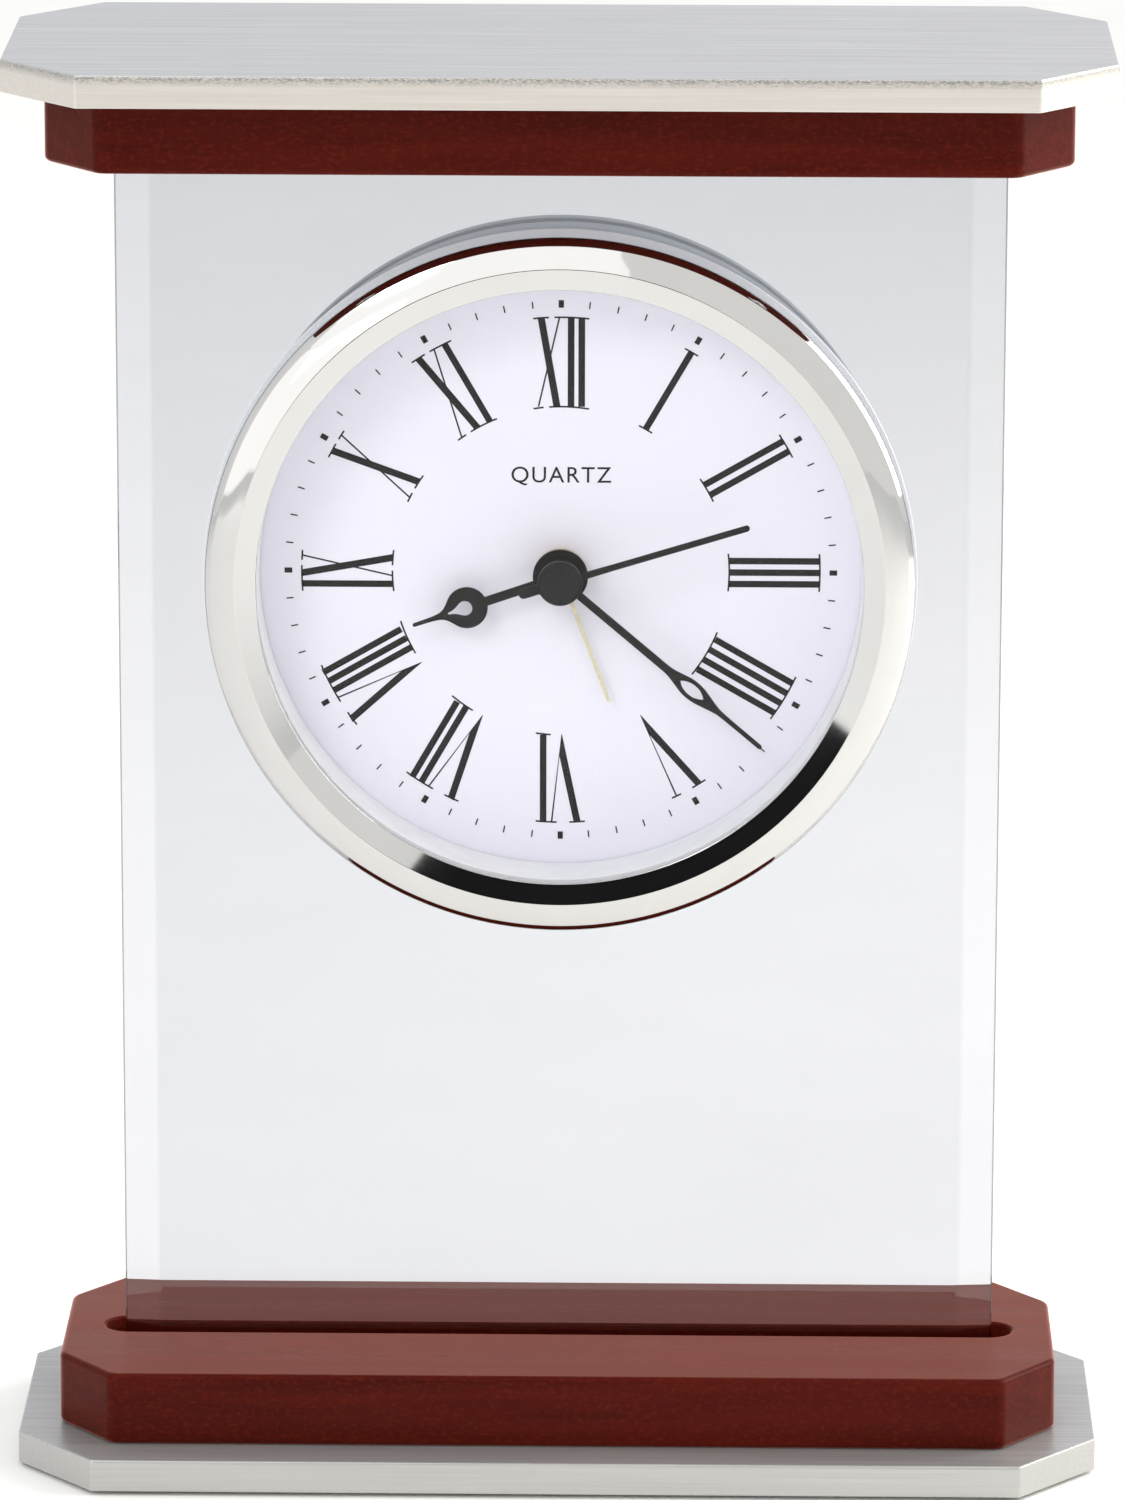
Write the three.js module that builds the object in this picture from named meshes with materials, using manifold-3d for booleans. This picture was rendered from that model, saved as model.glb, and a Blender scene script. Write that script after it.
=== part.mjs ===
// Carriage clock: a glass panel standing between two wooden blocks with aluminium plates, and a round
// quartz alarm insert clamped through the glass. Millimetres. +Z is up, +X is the viewer's right, and the
// dial faces -Y. The origin is at the middle of the footprint, on the surface that the clock stands on.
import * as THREE from 'three';
import { mergeVertices } from 'three/addons/utils/BufferGeometryUtils.js';
import Module from 'manifold-3d';

const wasm = await Module();
wasm.setup();

// ---- driving dimensions of the stand; GAP is the usual clearance, PAST how far a cut overruns ----
const INCH = 25.4;
const WIDTH = 6.25 * INCH;
const DEPTH = 2.5 * INCH;
const BODY_HEIGHT = 8.25 * INCH;
const PLATE_THICK = 0.1875 * INCH;
const PLATE_CHAMFER = { x: 11.5, y: 13.2 };
const FOOT_STAND = 0.6;
const FOOT = { radius: 6, thick: 1.2, x: 64, y: 20 };
const WOOD = { halfWidth: 73.5, halfDepth: 24.3, thick: 10.74, round: 1, chamferX: 7.6, chamferY: 9.6 };
const SLOT = { halfLength: 67.6, width: 7.2, depth: 7.5, headroom: 0.25 };
const GLASS = { halfWidth: 64.5, front: -2.7, back: 3.3, bevelWide: 5.5, bevelDeep: 1.5, holeRadius: 46.3 };
const STAND_SCREW = { x: 48, y: 14, headRadius: 4, shankRadius: 2, headDeep: 2.2, sunk: 0.3, length: 12 };
const GAP = 0.3;
const PAST = 1;

// ---- driving dimensions of the insert; its y values are shared with the stand ----
const INSERT_Z = FOOT_STAND + 129.5;
const ROUND = 48;
const BEZEL = { inner: 44.3, crest: 47.7, shoulder: 50.9, outer: 51.8, lipFront: -4.9, crestFront: -5.45 };
const SLEEVE = { inner: 45.3, outer: 45.9, end: 8.7, seat: -4.2 };
const LENS = { radius: 45, front: -4, back: -2.5 };
const REHAUT = { inner: 44.2, outer: 45, front: -2.3, back: 7 };
const DIAL = { radius: 45, front: 7.2, back: 7.7, hole: 3.3 };
const GASKET = { inner: 46.4, outer: 52.2 };
const CUP = { outer: 50.2, inner: 48.7, flange: 52, front: 3.9, flangeBack: 5.4, back: 19.2 };
const COVER = { rimFront: 19.4, inside: 23.2, back: 26, edge: 1.2 };
const COVER_SCREW = { orbit: 45.6, boss: 2.6, headRadius: 2.2, shankRadius: 1, headDeep: 1.4, tip: 13 };
const MAIN_PLATE = { radius: 48.3, front: 8, step: 8.9, back: 9.6 };
const BRIDGE = { left: -36.5, right: 33.5, bottom: -16.4, top: 28, front: 19.6, back: 20.8, corner: 5 };
const BAY = { z: -27, halfHeight: 8.2, halfLength: 29.3, wall: 1.2, front: 10.2, ledge: 1.8, lip: 0.4 };
const BATTERY = { x: 2.4, y: 17.2, radius: 7.05, length: 50.5, nub: 2.6, nubLong: 1.1 };
const CONTACT = { plusX: 28.2, minusX: -28.4, thick: 0.4, front: 11, back: 22.8, halfHeight: 6 };
const SPRING = { reach: 4, wide: 5, narrow: 3, turns: 2.5, wire: 0.4, steps: 20 };
const DOOR = {
  halfWidth: 28.2, top: -18.1, bottom: -55, front: 24.9, tongue: 1, tongueThick: 0.4, floor: 24.6,
};
const KNOB = { radius: 6.5, front: 26.4, back: 31, bore: 1.4, crown: 1.5 };
const SOUNDER = { z: 8, radius: 11, front: 21.8, back: 22.9, holeOrbit: 4, holeRadius: 1.1 };
const SWITCH = { z: 33, travel: 3.5, stemHalf: 1.2, stemHigh: 1 };
const BOARD = { left: -14, right: 20, front: 12, back: 13.2, bottom: 29.5, top: 41.5 };
const BOARD_POSTS = [{ x: -10, z: 36 }, { x: 16, z: 33 }];
const STEM = { radius: 1.2, plateHole: 1.6, coverHole: 1.8 };

// ---- hands: plane in y, angle clockwise from twelve, length from the centre ----
const HAND_THICK = 0.4;
const HOUR_HAND = { y: 3.6, angle: 251, length: 22.6 };
const MINUTE_HAND = { y: 1.7, angle: 130.5, length: 38.9 };
const SECOND_HAND = { y: -0.5, angle: 73, length: 28.9, tail: 6.3, capRadius: 3.3 };
const ALARM_HAND = { y: 5.3, angle: 159.5, length: 20.5, thick: 0.3 };

// ---- wheel train: each layer is a slice of y, and each mesh has its own module ----
const layer = (index) => 10 + 1.4 * index;
const WHEEL_THICK = 1;
const ARBOR = { radius: 0.7, hole: 1, front: 8.6, back: 20.4 };
const polar = (distance, degrees, from = { x: 0, z: 0 }) => ({
  x: from.x + distance * Math.cos(THREE.MathUtils.degToRad(degrees)),
  z: from.z + distance * Math.sin(THREE.MathUtils.degToRad(degrees)),
});
const CENTRE = { x: 0, z: 0 };
const THIRD_DISTANCE = 13.6;
const MOTION_DISTANCE = 14;
const INTERMEDIATE_DISTANCE = 14;
const ROTOR_DISTANCE = 8.4;
const THIRD = polar(THIRD_DISTANCE, 50);
const MOTION = polar(MOTION_DISTANCE, -10);
const TIME_STEM = polar(MOTION_DISTANCE, 20, MOTION);
const INTERMEDIATE = polar(INTERMEDIATE_DISTANCE, 140);
const ROTOR = polar(ROTOR_DISTANCE, 150, INTERMEDIATE);
const ALARM_IDLER = polar(18, 175);
const ALARM_STEM = polar(27, 175);
const PILLARS = [{ x: -33, z: -11 }, { x: 30, z: -11 }, { x: 0, z: 24.6 }];
const STATOR = { left: -33, right: -13, height: 16, leg: 3.5, front: 14.2, back: 15.2, window: -23.2 };
const CORE = { x: -31, halfWidth: 1.6, back: 16.2, winding: 3.3 };
const BRIDGE_SCREW = { headDeep: 0.9, tip: 14 };

// ---- materials ----
function finish(color, roughness, metalness) {
  return new THREE.MeshStandardMaterial({ color, roughness, metalness });
}
const aluminium = finish(0xc8c9cc, 0.35, 1);
const rosewood = finish(0x5a1a12, 0.4, 0);
const clearGlass = new THREE.MeshStandardMaterial({
  color: 0xe8f0f0, roughness: 0.03, metalness: 0, transparent: true, opacity: 0.3,
});
const chrome = finish(0xe6e6e4, 0.08, 1);
const satinGrey = finish(0xa2a7ac, 0.4, 0.6);
const whiteCard = finish(0xececf6, 0.7, 0);
const lightPlastic = finish(0xd8d8da, 0.5, 0);
const blackPaint = finish(0x111214, 0.6, 0.1);
const champagne = finish(0xd8cfae, 0.4, 0.5);
const darkPlastic = finish(0x2b2c2e, 0.5, 0);
const whitePlastic = finish(0xe4e2da, 0.5, 0);
const steel = finish(0xb4b6b8, 0.3, 1);
const brass = finish(0xc29a4a, 0.3, 1);
const copper = finish(0xa85a2c, 0.35, 0.8);
const boardGreen = finish(0x2e5b34, 0.5, 0);
const rubber = finish(0x1c1c1c, 0.9, 0);
const foam = finish(0xf2f2f0, 0.9, 0);
const cellBlack = finish(0x26282b, 0.35, 0.3);

// ---- solids: join, cut, and the way back to a geometry ----
function toSolid(geometry) {
  const plain = geometry.clone();
  plain.deleteAttribute('normal');
  plain.deleteAttribute('uv');
  const merged = mergeVertices(plain, 1e-4);
  const positions = merged.attributes.position.array;
  return new wasm.Manifold(new wasm.Mesh({
    numProp: 3,
    vertProperties: new Float32Array(positions),
    triVerts: new Uint32Array(merged.index.array),
  }));
}

function toGeometry(solid) {
  const mesh = solid.getMesh();
  const geometry = new THREE.BufferGeometry();
  geometry.setAttribute('position', new THREE.BufferAttribute(new Float32Array(mesh.vertProperties), 3));
  geometry.setIndex(new THREE.BufferAttribute(new Uint32Array(mesh.triVerts), 1));
  geometry.computeVertexNormals();
  return geometry;
}

function join(first, ...others) {
  return toGeometry(others.reduce((solid, other) => solid.add(toSolid(other)), toSolid(first)));
}

function cut(body, ...tools) {
  return toGeometry(tools.reduce((solid, tool) => solid.subtract(toSolid(tool)), toSolid(body)));
}

function common(first, second) {
  return toGeometry(toSolid(first).intersect(toSolid(second)));
}

// ---- basic shapes ----
const corners = [[-1, -1], [1, -1], [1, 1], [-1, 1]];

function box(x0, x1, y0, y1, z0, z1) {
  const geometry = new THREE.BoxGeometry(x1 - x0, y1 - y0, z1 - z0);
  return geometry.translate((x0 + x1) / 2, (y0 + y1) / 2, (z0 + z1) / 2);
}

// A cylinder along Y, with its middle at { x, z }.
function rod(radius, y0, y1, at = CENTRE, sides = 16) {
  const geometry = new THREE.CylinderGeometry(radius, radius, y1 - y0, sides);
  return geometry.translate(at.x, (y0 + y1) / 2, at.z);
}

// A body turned about Y from a closed [radius, y] outline.
function turned(outline, sides = ROUND) {
  const points = outline.map(([radius, y]) => new THREE.Vector2(radius, y));
  if (THREE.ShapeUtils.area(points) < 0) points.reverse();
  return new THREE.LatheGeometry([...points, points[0]], sides);
}

// A ring of rectangular section about Y.
function ring(inner, outer, y0, y1, sides = ROUND) {
  return turned([[inner, y0], [outer, y0], [outer, y1], [inner, y1]], sides);
}

// A flat outline in x and z, extruded along Y.
function slab(shape, y0, y1, curveSegments = 8) {
  const geometry = new THREE.ExtrudeGeometry(shape, { depth: y1 - y0, bevelEnabled: false, curveSegments });
  return geometry.rotateX(Math.PI / 2).translate(0, y1, 0);
}

// A rectangle with its four corners cut off, in x and y.
function chamferedRectangle(halfX, halfY, chamferX, chamferY) {
  const points = corners.flatMap(([sx, sy]) => {
    const alongX = new THREE.Vector2(sx * (halfX - chamferX), sy * halfY);
    const alongY = new THREE.Vector2(sx * halfX, sy * (halfY - chamferY));
    return sx * sy > 0 ? [alongY, alongX] : [alongX, alongY];
  });
  return new THREE.Shape(points);
}

// ---- the stand ----
function plate(z0) {
  const outline = chamferedRectangle(WIDTH / 2, DEPTH / 2, PLATE_CHAMFER.x, PLATE_CHAMFER.y);
  const geometry = new THREE.ExtrudeGeometry(outline, { depth: PLATE_THICK, bevelEnabled: false });
  return geometry.translate(0, 0, z0);
}

function woodBlock(z0) {
  const { halfWidth, halfDepth, thick, round, chamferX, chamferY } = WOOD;
  const outline = chamferedRectangle(halfWidth - round, halfDepth - round, chamferX, chamferY);
  const geometry = new THREE.ExtrudeGeometry(outline, {
    depth: thick - 2 * round, bevelThickness: round, bevelSize: round, bevelSegments: 2,
  });
  return geometry.translate(0, 0, z0 + round);
}

// A slot with half-round ends along X, cut between two heights.
function slotTool(z0, z1) {
  const radius = SLOT.width / 2;
  const straight = SLOT.halfLength - radius;
  const outline = new THREE.Shape();
  outline.absarc(straight, 0, radius, -Math.PI / 2, Math.PI / 2);
  outline.absarc(-straight, 0, radius, Math.PI / 2, (3 * Math.PI) / 2);
  const geometry = new THREE.ExtrudeGeometry(outline, {
    depth: z1 - z0, bevelEnabled: false, curveSegments: 6,
  });
  return geometry.translate(0, 0, z0);
}

// A countersunk screw standing on Z; grow widens it into the tool that cuts its hole.
function countersunk(grow = 0) {
  const { headRadius, shankRadius, headDeep, length } = STAND_SCREW;
  const outline = [
    [0, -grow * 2], [headRadius + grow, -grow * 2], [headRadius + grow, 0],
    [shankRadius + grow, headDeep], [shankRadius + grow, length + grow], [0, length + grow],
  ].map(([radius, z]) => new THREE.Vector2(radius, z));
  return new THREE.LatheGeometry(outline, 10).rotateX(Math.PI / 2);
}

function standScrews(z, grow = 0) {
  return corners.map(([sx, sy]) => countersunk(grow).translate(sx * STAND_SCREW.x, sy * STAND_SCREW.y, z));
}

function footPad(sx, sy, radius, top) {
  const pad = new THREE.CylinderGeometry(radius, radius, top, 16).rotateX(Math.PI / 2);
  return pad.translate(sx * FOOT.x, sy * FOOT.y, top / 2);
}

function glassPanel(z0, z1) {
  const { halfWidth, front, back, bevelWide, bevelDeep, holeRadius } = GLASS;
  const plan = new THREE.Shape([
    new THREE.Vector2(-halfWidth + bevelWide, front), new THREE.Vector2(halfWidth - bevelWide, front),
    new THREE.Vector2(halfWidth, front + bevelDeep), new THREE.Vector2(halfWidth, back),
    new THREE.Vector2(-halfWidth, back), new THREE.Vector2(-halfWidth, front + bevelDeep),
  ]);
  const panel = new THREE.ExtrudeGeometry(plan, { depth: z1 - z0, bevelEnabled: false }).translate(0, 0, z0);
  const hole = rod(holeRadius, front - PAST, back + PAST, CENTRE, ROUND).translate(0, 0, INSERT_Z);
  return cut(panel, hole);
}

// ---- the insert's front ----
function bezel() {
  const { inner, crest, shoulder, outer, lipFront, crestFront } = BEZEL;
  return turned([
    [inner, SLEEVE.seat], [inner, lipFront], [(inner + crest) / 2, (lipFront + crestFront) / 2],
    [crest, crestFront], [(crest + shoulder) / 2, crestFront + 0.25], [shoulder, crestFront + 0.85],
    [outer - 0.25, crestFront + 1.5], [outer, GLASS.front], [SLEEVE.outer, GLASS.front],
    [SLEEVE.outer, SLEEVE.end], [SLEEVE.inner, SLEEVE.end], [SLEEVE.inner, SLEEVE.seat],
  ]);
}

function rearCup() {
  const { outer, inner, flange, front, flangeBack, back } = CUP;
  const shell = turned([
    [SLEEVE.outer + GAP, front], [flange, front], [flange, flangeBack], [outer, flangeBack],
    [outer, back], [inner, back], [inner, flangeBack], [SLEEVE.outer + GAP, flangeBack],
  ]);
  const spots = coverScrewSpots();
  const bossFront = MAIN_PLATE.back + GAP;
  const webHalf = 0.8;
  const bosses = spots.map((at) => {
    const post = rod(COVER_SCREW.boss, bossFront, COVER.inside - GAP, at, 12);
    const web = box(-webHalf, webHalf, bossFront, back, COVER_SCREW.orbit + webHalf, (inner + outer) / 2);
    return join(post, web.rotateY(Math.atan2(at.x, at.z)));
  });
  const holes = spots.map((at) =>
    rod(COVER_SCREW.shankRadius + GAP, COVER_SCREW.tip - PAST, COVER.back, at, 8));
  return cut(join(shell, ...bosses), ...holes);
}

function coverScrewSpots() {
  return [90, 210, 330].map((degrees) => polar(COVER_SCREW.orbit, degrees));
}

// ---- the back of the insert ----
function backCover() {
  const { rimFront, inside, back, edge } = COVER;
  const disc = turned([
    [0, inside], [CUP.inner, inside], [CUP.inner, rimFront], [CUP.outer, rimFront],
    [CUP.outer, back - edge], [CUP.outer - edge, back], [0, back],
  ]);
  const { z, halfHeight, halfLength, wall, front, ledge, lip } = BAY;
  const bay = box(
    -halfLength - wall, halfLength + wall, front, inside + GAP, z - halfHeight - wall, z + halfHeight + wall,
  );
  const room = box(-halfLength, halfLength, front - PAST, inside, z - halfHeight, z + halfHeight);
  const mouth = box(
    -halfLength + ledge, halfLength - ledge, inside - PAST, back, z - halfHeight + lip, z + halfHeight,
  );
  const trackHalf = DOOR.halfWidth + GAP;
  const grooveHalf = trackHalf + DOOR.tongue;
  const grooveBack = DOOR.front + DOOR.tongueThick + GAP;
  const track = box(-trackHalf, trackHalf, DOOR.floor, back + PAST, DOOR.bottom, DOOR.top + GAP);
  const groove = box(-grooveHalf, grooveHalf, DOOR.floor, grooveBack, DOOR.bottom, DOOR.top + GAP);
  const through = (radius, at, sides) => rod(radius, inside - PAST, back + PAST, at, sides);
  const screwHoles = coverScrewSpots().flatMap((at) => [
    through(COVER_SCREW.shankRadius + GAP, at, 8),
    rod(COVER_SCREW.headRadius + GAP, back - COVER_SCREW.headDeep, back + PAST, at, 12),
  ]);
  const stemHoles = [TIME_STEM, ALARM_STEM].map((at) => through(STEM.coverHole, at, 12));
  const soundSpots = [CENTRE, ...[0, 1, 2, 3, 4, 5].map((i) => polar(SOUNDER.holeOrbit, 60 * i))];
  const soundHoles = soundSpots.map((at) =>
    through(SOUNDER.holeRadius, { x: at.x, z: at.z + SOUNDER.z }, 6));
  const slotHalf = SWITCH.stemHalf + GAP;
  const slotHigh = SWITCH.stemHigh + GAP;
  const slot = box(
    -slotHalf, slotHalf + SWITCH.travel, inside - PAST, back + PAST, SWITCH.z - slotHigh, SWITCH.z + slotHigh,
  );
  return cut(
    join(disc, bay), room, mouth, track, groove, ...screwHoles, ...stemHoles, ...soundHoles, slot,
  );
}

function batteryDoor() {
  const { halfWidth, top, bottom, front, tongue, tongueThick } = DOOR;
  const panel = box(-halfWidth, halfWidth, front, COVER.back, bottom, top);
  const tongues = box(-halfWidth - tongue, halfWidth + tongue, front, front + tongueThick, bottom, top);
  const round = turned([
    [0, front - PAST], [CUP.outer, front - PAST], [CUP.outer, COVER.back - COVER.edge],
    [CUP.outer - COVER.edge, COVER.back], [0, COVER.back],
  ]);
  return common(join(panel, tongues), round);
}

// A pan-head screw along Y, with its head between two values of y and its tip at a third.
function panScrew(headFront, headBack, tip) {
  return join(
    rod(COVER_SCREW.headRadius, headFront, headBack, CENTRE, 12),
    rod(COVER_SCREW.shankRadius, tip, headFront + GAP, CENTRE, 6),
  );
}

function knob() {
  const { radius, front, back, bore, crown } = KNOB;
  return cut(rod(radius, front, back, CENTRE, 24), rod(bore, front - PAST, back - crown, CENTRE, 12));
}

// A thumb piece outside the cover, a stem through its slot, and a wider foot inside.
function alarmSwitch() {
  const { z, stemHalf, stemHigh } = SWITCH;
  const thumb = { half: 3, high: 2, front: COVER.back + GAP, back: COVER.back + 2.2 };
  const foot = { half: 4, high: 3, front: COVER.inside - 1.4, back: COVER.inside - GAP };
  return join(
    box(-thumb.half, thumb.half, thumb.front, thumb.back, z - thumb.high, z + thumb.high),
    box(-stemHalf, stemHalf, foot.back - GAP, thumb.front + GAP, z - stemHigh, z + stemHigh),
    box(-foot.half, foot.half, foot.front, foot.back, z - foot.high, z + foot.high),
  );
}

function batteryCell() {
  const { radius, length, nub, nubLong } = BATTERY;
  const body = new THREE.CylinderGeometry(radius, radius, length - nubLong, 20);
  const cap = new THREE.CylinderGeometry(nub, nub, 2 * nubLong, 12).translate(0, (length - nubLong) / 2, 0);
  return join(body, cap).translate(0, -nubLong / 2, 0).rotateZ(-Math.PI / 2);
}

// A contact sheet across one end of the bay.
function contactSheet(x) {
  const { thick, front, back, halfHeight } = CONTACT;
  return box(x, x + thick, front, back, BAY.z - halfHeight, BAY.z + halfHeight);
}

// The same sheet with a conical spring that presses on the cell's flat end.
function contactMinus() {
  const { reach, wide, narrow, turns, wire, steps } = SPRING;
  const start = CONTACT.minusX + CONTACT.thick;
  const path = new THREE.CatmullRomCurve3(Array.from({ length: steps + 1 }, (_, i) => {
    const share = i / steps;
    const angle = share * turns * 2 * Math.PI;
    const radius = wide + share * (narrow - wide);
    return new THREE.Vector3(
      start + share * reach, BATTERY.y + radius * Math.cos(angle), BAY.z + radius * Math.sin(angle),
    );
  }));
  const section = new THREE.Shape().absarc(0, 0, wire, 0, 2 * Math.PI);
  const spring = new THREE.ExtrudeGeometry(section, { extrudePath: path, steps: 24, curveSegments: 3 });
  return join(contactSheet(CONTACT.minusX), spring);
}

// ---- plates of the movement ----
function arborSpots() {
  return [THIRD, MOTION, INTERMEDIATE, ROTOR, ALARM_IDLER];
}

function mainPlate() {
  const { radius, front, step, back } = MAIN_PLATE;
  const disc = turned([
    [0, front], [DIAL.radius, front], [DIAL.radius, step], [radius, step], [radius, back], [0, back],
  ]);
  const post = (size, top, sides) => (at) => rod(size, back - GAP, top, at, sides);
  const through = (size, sides) => (at) => rod(size, front - PAST, back + PAST, at, sides);
  const screwHole = (at) =>
    rod(COVER_SCREW.shankRadius + GAP, BRIDGE_SCREW.tip - GAP, BRIDGE.front + PAST, at, 8);
  return cut(
    join(
      disc, ...PILLARS.map(post(2.2, BRIDGE.front, 10)), ...motorPostSpots().map(post(1.4, STATOR.front, 8)),
      ...BOARD_POSTS.map(post(1.5, BOARD.front, 8)),
    ),
    through(DIAL.hole, 24)(CENTRE), ...arborSpots().map(through(ARBOR.hole, 8)),
    ...[TIME_STEM, ALARM_STEM].map(through(STEM.plateHole, 10)), ...PILLARS.map(screwHole),
  );
}

function motorPostSpots() {
  const reach = (STATOR.height - STATOR.leg) / 2;
  return [-1, 1].map((side) => ({ x: CORE.x, z: ROTOR.z + side * reach }));
}

function bridgePlate() {
  const { left, right, bottom, top, front, back, corner } = BRIDGE;
  const outline = new THREE.Shape();
  outline.absarc(right - corner, top - corner, corner, 0, Math.PI / 2);
  outline.absarc(left + corner, top - corner, corner, Math.PI / 2, Math.PI);
  outline.absarc(left + corner, bottom + corner, corner, Math.PI, 1.5 * Math.PI);
  outline.absarc(right - corner, bottom + corner, corner, 1.5 * Math.PI, 2 * Math.PI);
  const through = (size, sides) => (at) => rod(size, front - PAST, back + PAST, at, sides);
  return cut(
    slab(outline, front, back, 5), ...arborSpots().map(through(ARBOR.hole, 8)),
    ...[CENTRE, TIME_STEM, ALARM_STEM, ...PILLARS].map(through(STEM.plateHole, 10)),
  );
}

// ---- wheels ----
// A toothed outline: stub teeth with straight flanks, cut narrow so that two meshed wheels run with backlash.
function toothed({ teeth, module, phase, at }) {
  const pitch = (teeth * module) / 2;
  const tip = pitch + 0.7 * module;
  const root = pitch - 0.95 * module;
  const half = Math.PI / teeth / 2;
  const points = [];
  for (let i = 0; i < teeth; i += 1) {
    const middle = phase + (2 * Math.PI * i) / teeth;
    [[root, -1.12], [tip, -0.42], [tip, 0.42], [root, 1.12]].forEach(([radius, share]) => {
      const angle = middle + share * half;
      points.push(new THREE.Vector2(at.x + radius * Math.cos(angle), at.z + radius * Math.sin(angle)));
    });
  }
  return new THREE.Shape(points);
}

// The phase that puts a gap of the second wheel against a tooth of the first one.
function meshPhase(first, second) {
  const line = Math.atan2(second.at.z - first.at.z, second.at.x - first.at.x);
  const share = (line - first.phase) / ((2 * Math.PI) / first.teeth);
  return line + Math.PI - (0.5 - share) * ((2 * Math.PI) / second.teeth);
}

function meshed(first, second) {
  return { ...second, phase: meshPhase(first, second) };
}
const secondPinion = { teeth: 6, at: CENTRE, phase: 0, module: THIRD_DISTANCE / 27 };
const thirdTeeth = meshed(secondPinion, { teeth: 48, at: THIRD, module: secondPinion.module });
const thirdPinion = { teeth: 6, at: THIRD, phase: 0, module: THIRD_DISTANCE / 25.5 };
const centreTeeth = meshed(thirdPinion, { teeth: 45, at: CENTRE, module: thirdPinion.module });
const cannonPinion = { teeth: 10, at: CENTRE, phase: 0, module: MOTION_DISTANCE / 20 };
const motionTeeth = meshed(cannonPinion, { teeth: 30, at: MOTION, module: cannonPinion.module });
const timePinion = meshed(motionTeeth, { teeth: 10, at: TIME_STEM, module: cannonPinion.module });
const motionPinion = { teeth: 8, at: MOTION, phase: 0, module: MOTION_DISTANCE / 20 };
const hourTeeth = meshed(motionPinion, { teeth: 32, at: CENTRE, module: motionPinion.module });
const intermediatePinion = { teeth: 6, at: INTERMEDIATE, phase: 0, module: INTERMEDIATE_DISTANCE / 21 };
const secondTeeth = meshed(intermediatePinion, { teeth: 36, at: CENTRE, module: intermediatePinion.module });
const rotorPinion = { teeth: 6, at: ROTOR, phase: 0, module: ROTOR_DISTANCE / 18 };
const intermediateTeeth = meshed(rotorPinion, { teeth: 30, at: INTERMEDIATE, module: rotorPinion.module });
const alarmPinion = { teeth: 8, at: ALARM_STEM, phase: 0, module: 0.75 };
const idlerTeeth = meshed(alarmPinion, { teeth: 16, at: ALARM_IDLER, module: alarmPinion.module });
const alarmTeeth = meshed(idlerTeeth, { teeth: 32, at: CENTRE, module: alarmPinion.module });

function cog(wheel, index) {
  return slab(toothed(wheel), layer(index), layer(index) + WHEEL_THICK);
}

function arbor(at) {
  return rod(ARBOR.radius, ARBOR.front, ARBOR.back, at, 8);
}

function secondWheel() {
  return join(
    cog(secondTeeth, 5), cog(secondPinion, 4),
    rod(0.8, SECOND_HAND.y - 0.3, ARBOR.back, CENTRE, 12),
  );
}

function thirdWheel() {
  return join(cog(thirdTeeth, 4), cog(thirdPinion, 3), arbor(THIRD));
}

function centreWheel() {
  const tube = rod(1.5, MINUTE_HAND.y - 0.3, layer(3) + 0.5, CENTRE, 16);
  const bore = rod(1.1, MINUTE_HAND.y - 2, layer(4) + 1, CENTRE, 16);
  return cut(join(cog(centreTeeth, 3), cog(cannonPinion, 2), tube), bore);
}

function motionWheel() {
  return join(cog(motionTeeth, 2), cog(motionPinion, 1), arbor(MOTION));
}

function hourWheel() {
  const tube = rod(2.2, HOUR_HAND.y - 0.3, layer(1) + 0.5, CENTRE, 16);
  const bore = rod(1.8, HOUR_HAND.y - 2, layer(2), CENTRE, 16);
  return cut(join(cog(hourTeeth, 1), tube), bore);
}

function alarmWheel() {
  const tube = rod(3, ALARM_HAND.y - 0.3, layer(0) + 0.5, CENTRE, 24);
  const bore = rod(2.5, ALARM_HAND.y - 2, layer(1), CENTRE, 24);
  return cut(join(cog(alarmTeeth, 0), tube), bore);
}

function alarmIdler() {
  return join(cog(idlerTeeth, 0), arbor(ALARM_IDLER));
}

function intermediateWheel() {
  return join(cog(intermediateTeeth, 6), cog(intermediatePinion, 5), arbor(INTERMEDIATE));
}

function rotor() {
  const magnet = rod(3, STATOR.front - 0.9, STATOR.back + 0.9, ROTOR, 16);
  return join(cog(rotorPinion, 6), magnet, arbor(ROTOR));
}

function setStem(pinion, index) {
  return join(cog(pinion, index), rod(STEM.radius, ARBOR.front, KNOB.back - KNOB.crown - GAP, pinion.at, 12));
}

// ---- the motor, board and sounder ----
function stator() {
  const { left, right, height, leg, front, back, window } = STATOR;
  const low = ROTOR.z - height / 2;
  const high = ROTOR.z + height / 2;
  return cut(
    box(left, right, front, back, low, high),
    box(left - 1, window, front - 1, back + 1, low + leg, high - leg),
    rod(3.6, front - 1, back + 1, ROTOR, 20),
  );
}

function coilCore() {
  const half = STATOR.height / 2;
  return box(
    CORE.x - CORE.halfWidth, CORE.x + CORE.halfWidth, STATOR.back, CORE.back, ROTOR.z - half, ROTOR.z + half,
  );
}

function coil() {
  const { x, halfWidth, back, winding } = CORE;
  const length = STATOR.height - 2 * STATOR.leg - 2 * GAP;
  const roll = new THREE.CylinderGeometry(winding, winding, length, 20).rotateX(Math.PI / 2);
  const hole = new THREE.BoxGeometry(2 * (halfWidth + GAP), back - STATOR.back + 2 * GAP, length + 2 * PAST);
  return cut(roll, hole).translate(x, (STATOR.back + back) / 2, ROTOR.z);
}

function circuitBoard() {
  const { left, right, front, back, bottom, top } = BOARD;
  const middle = (bottom + top) / 2;
  const sheet = box(left, right, front, back, bottom, top);
  const chip = box(left + 6, left + 12, back - GAP, back + 1, middle - 3, middle + 2);
  const crystalCan = box(left + 20, left + 28, back - GAP, back + 2.2, middle, middle + 3);
  return join(sheet, chip, crystalCan);
}

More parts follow.
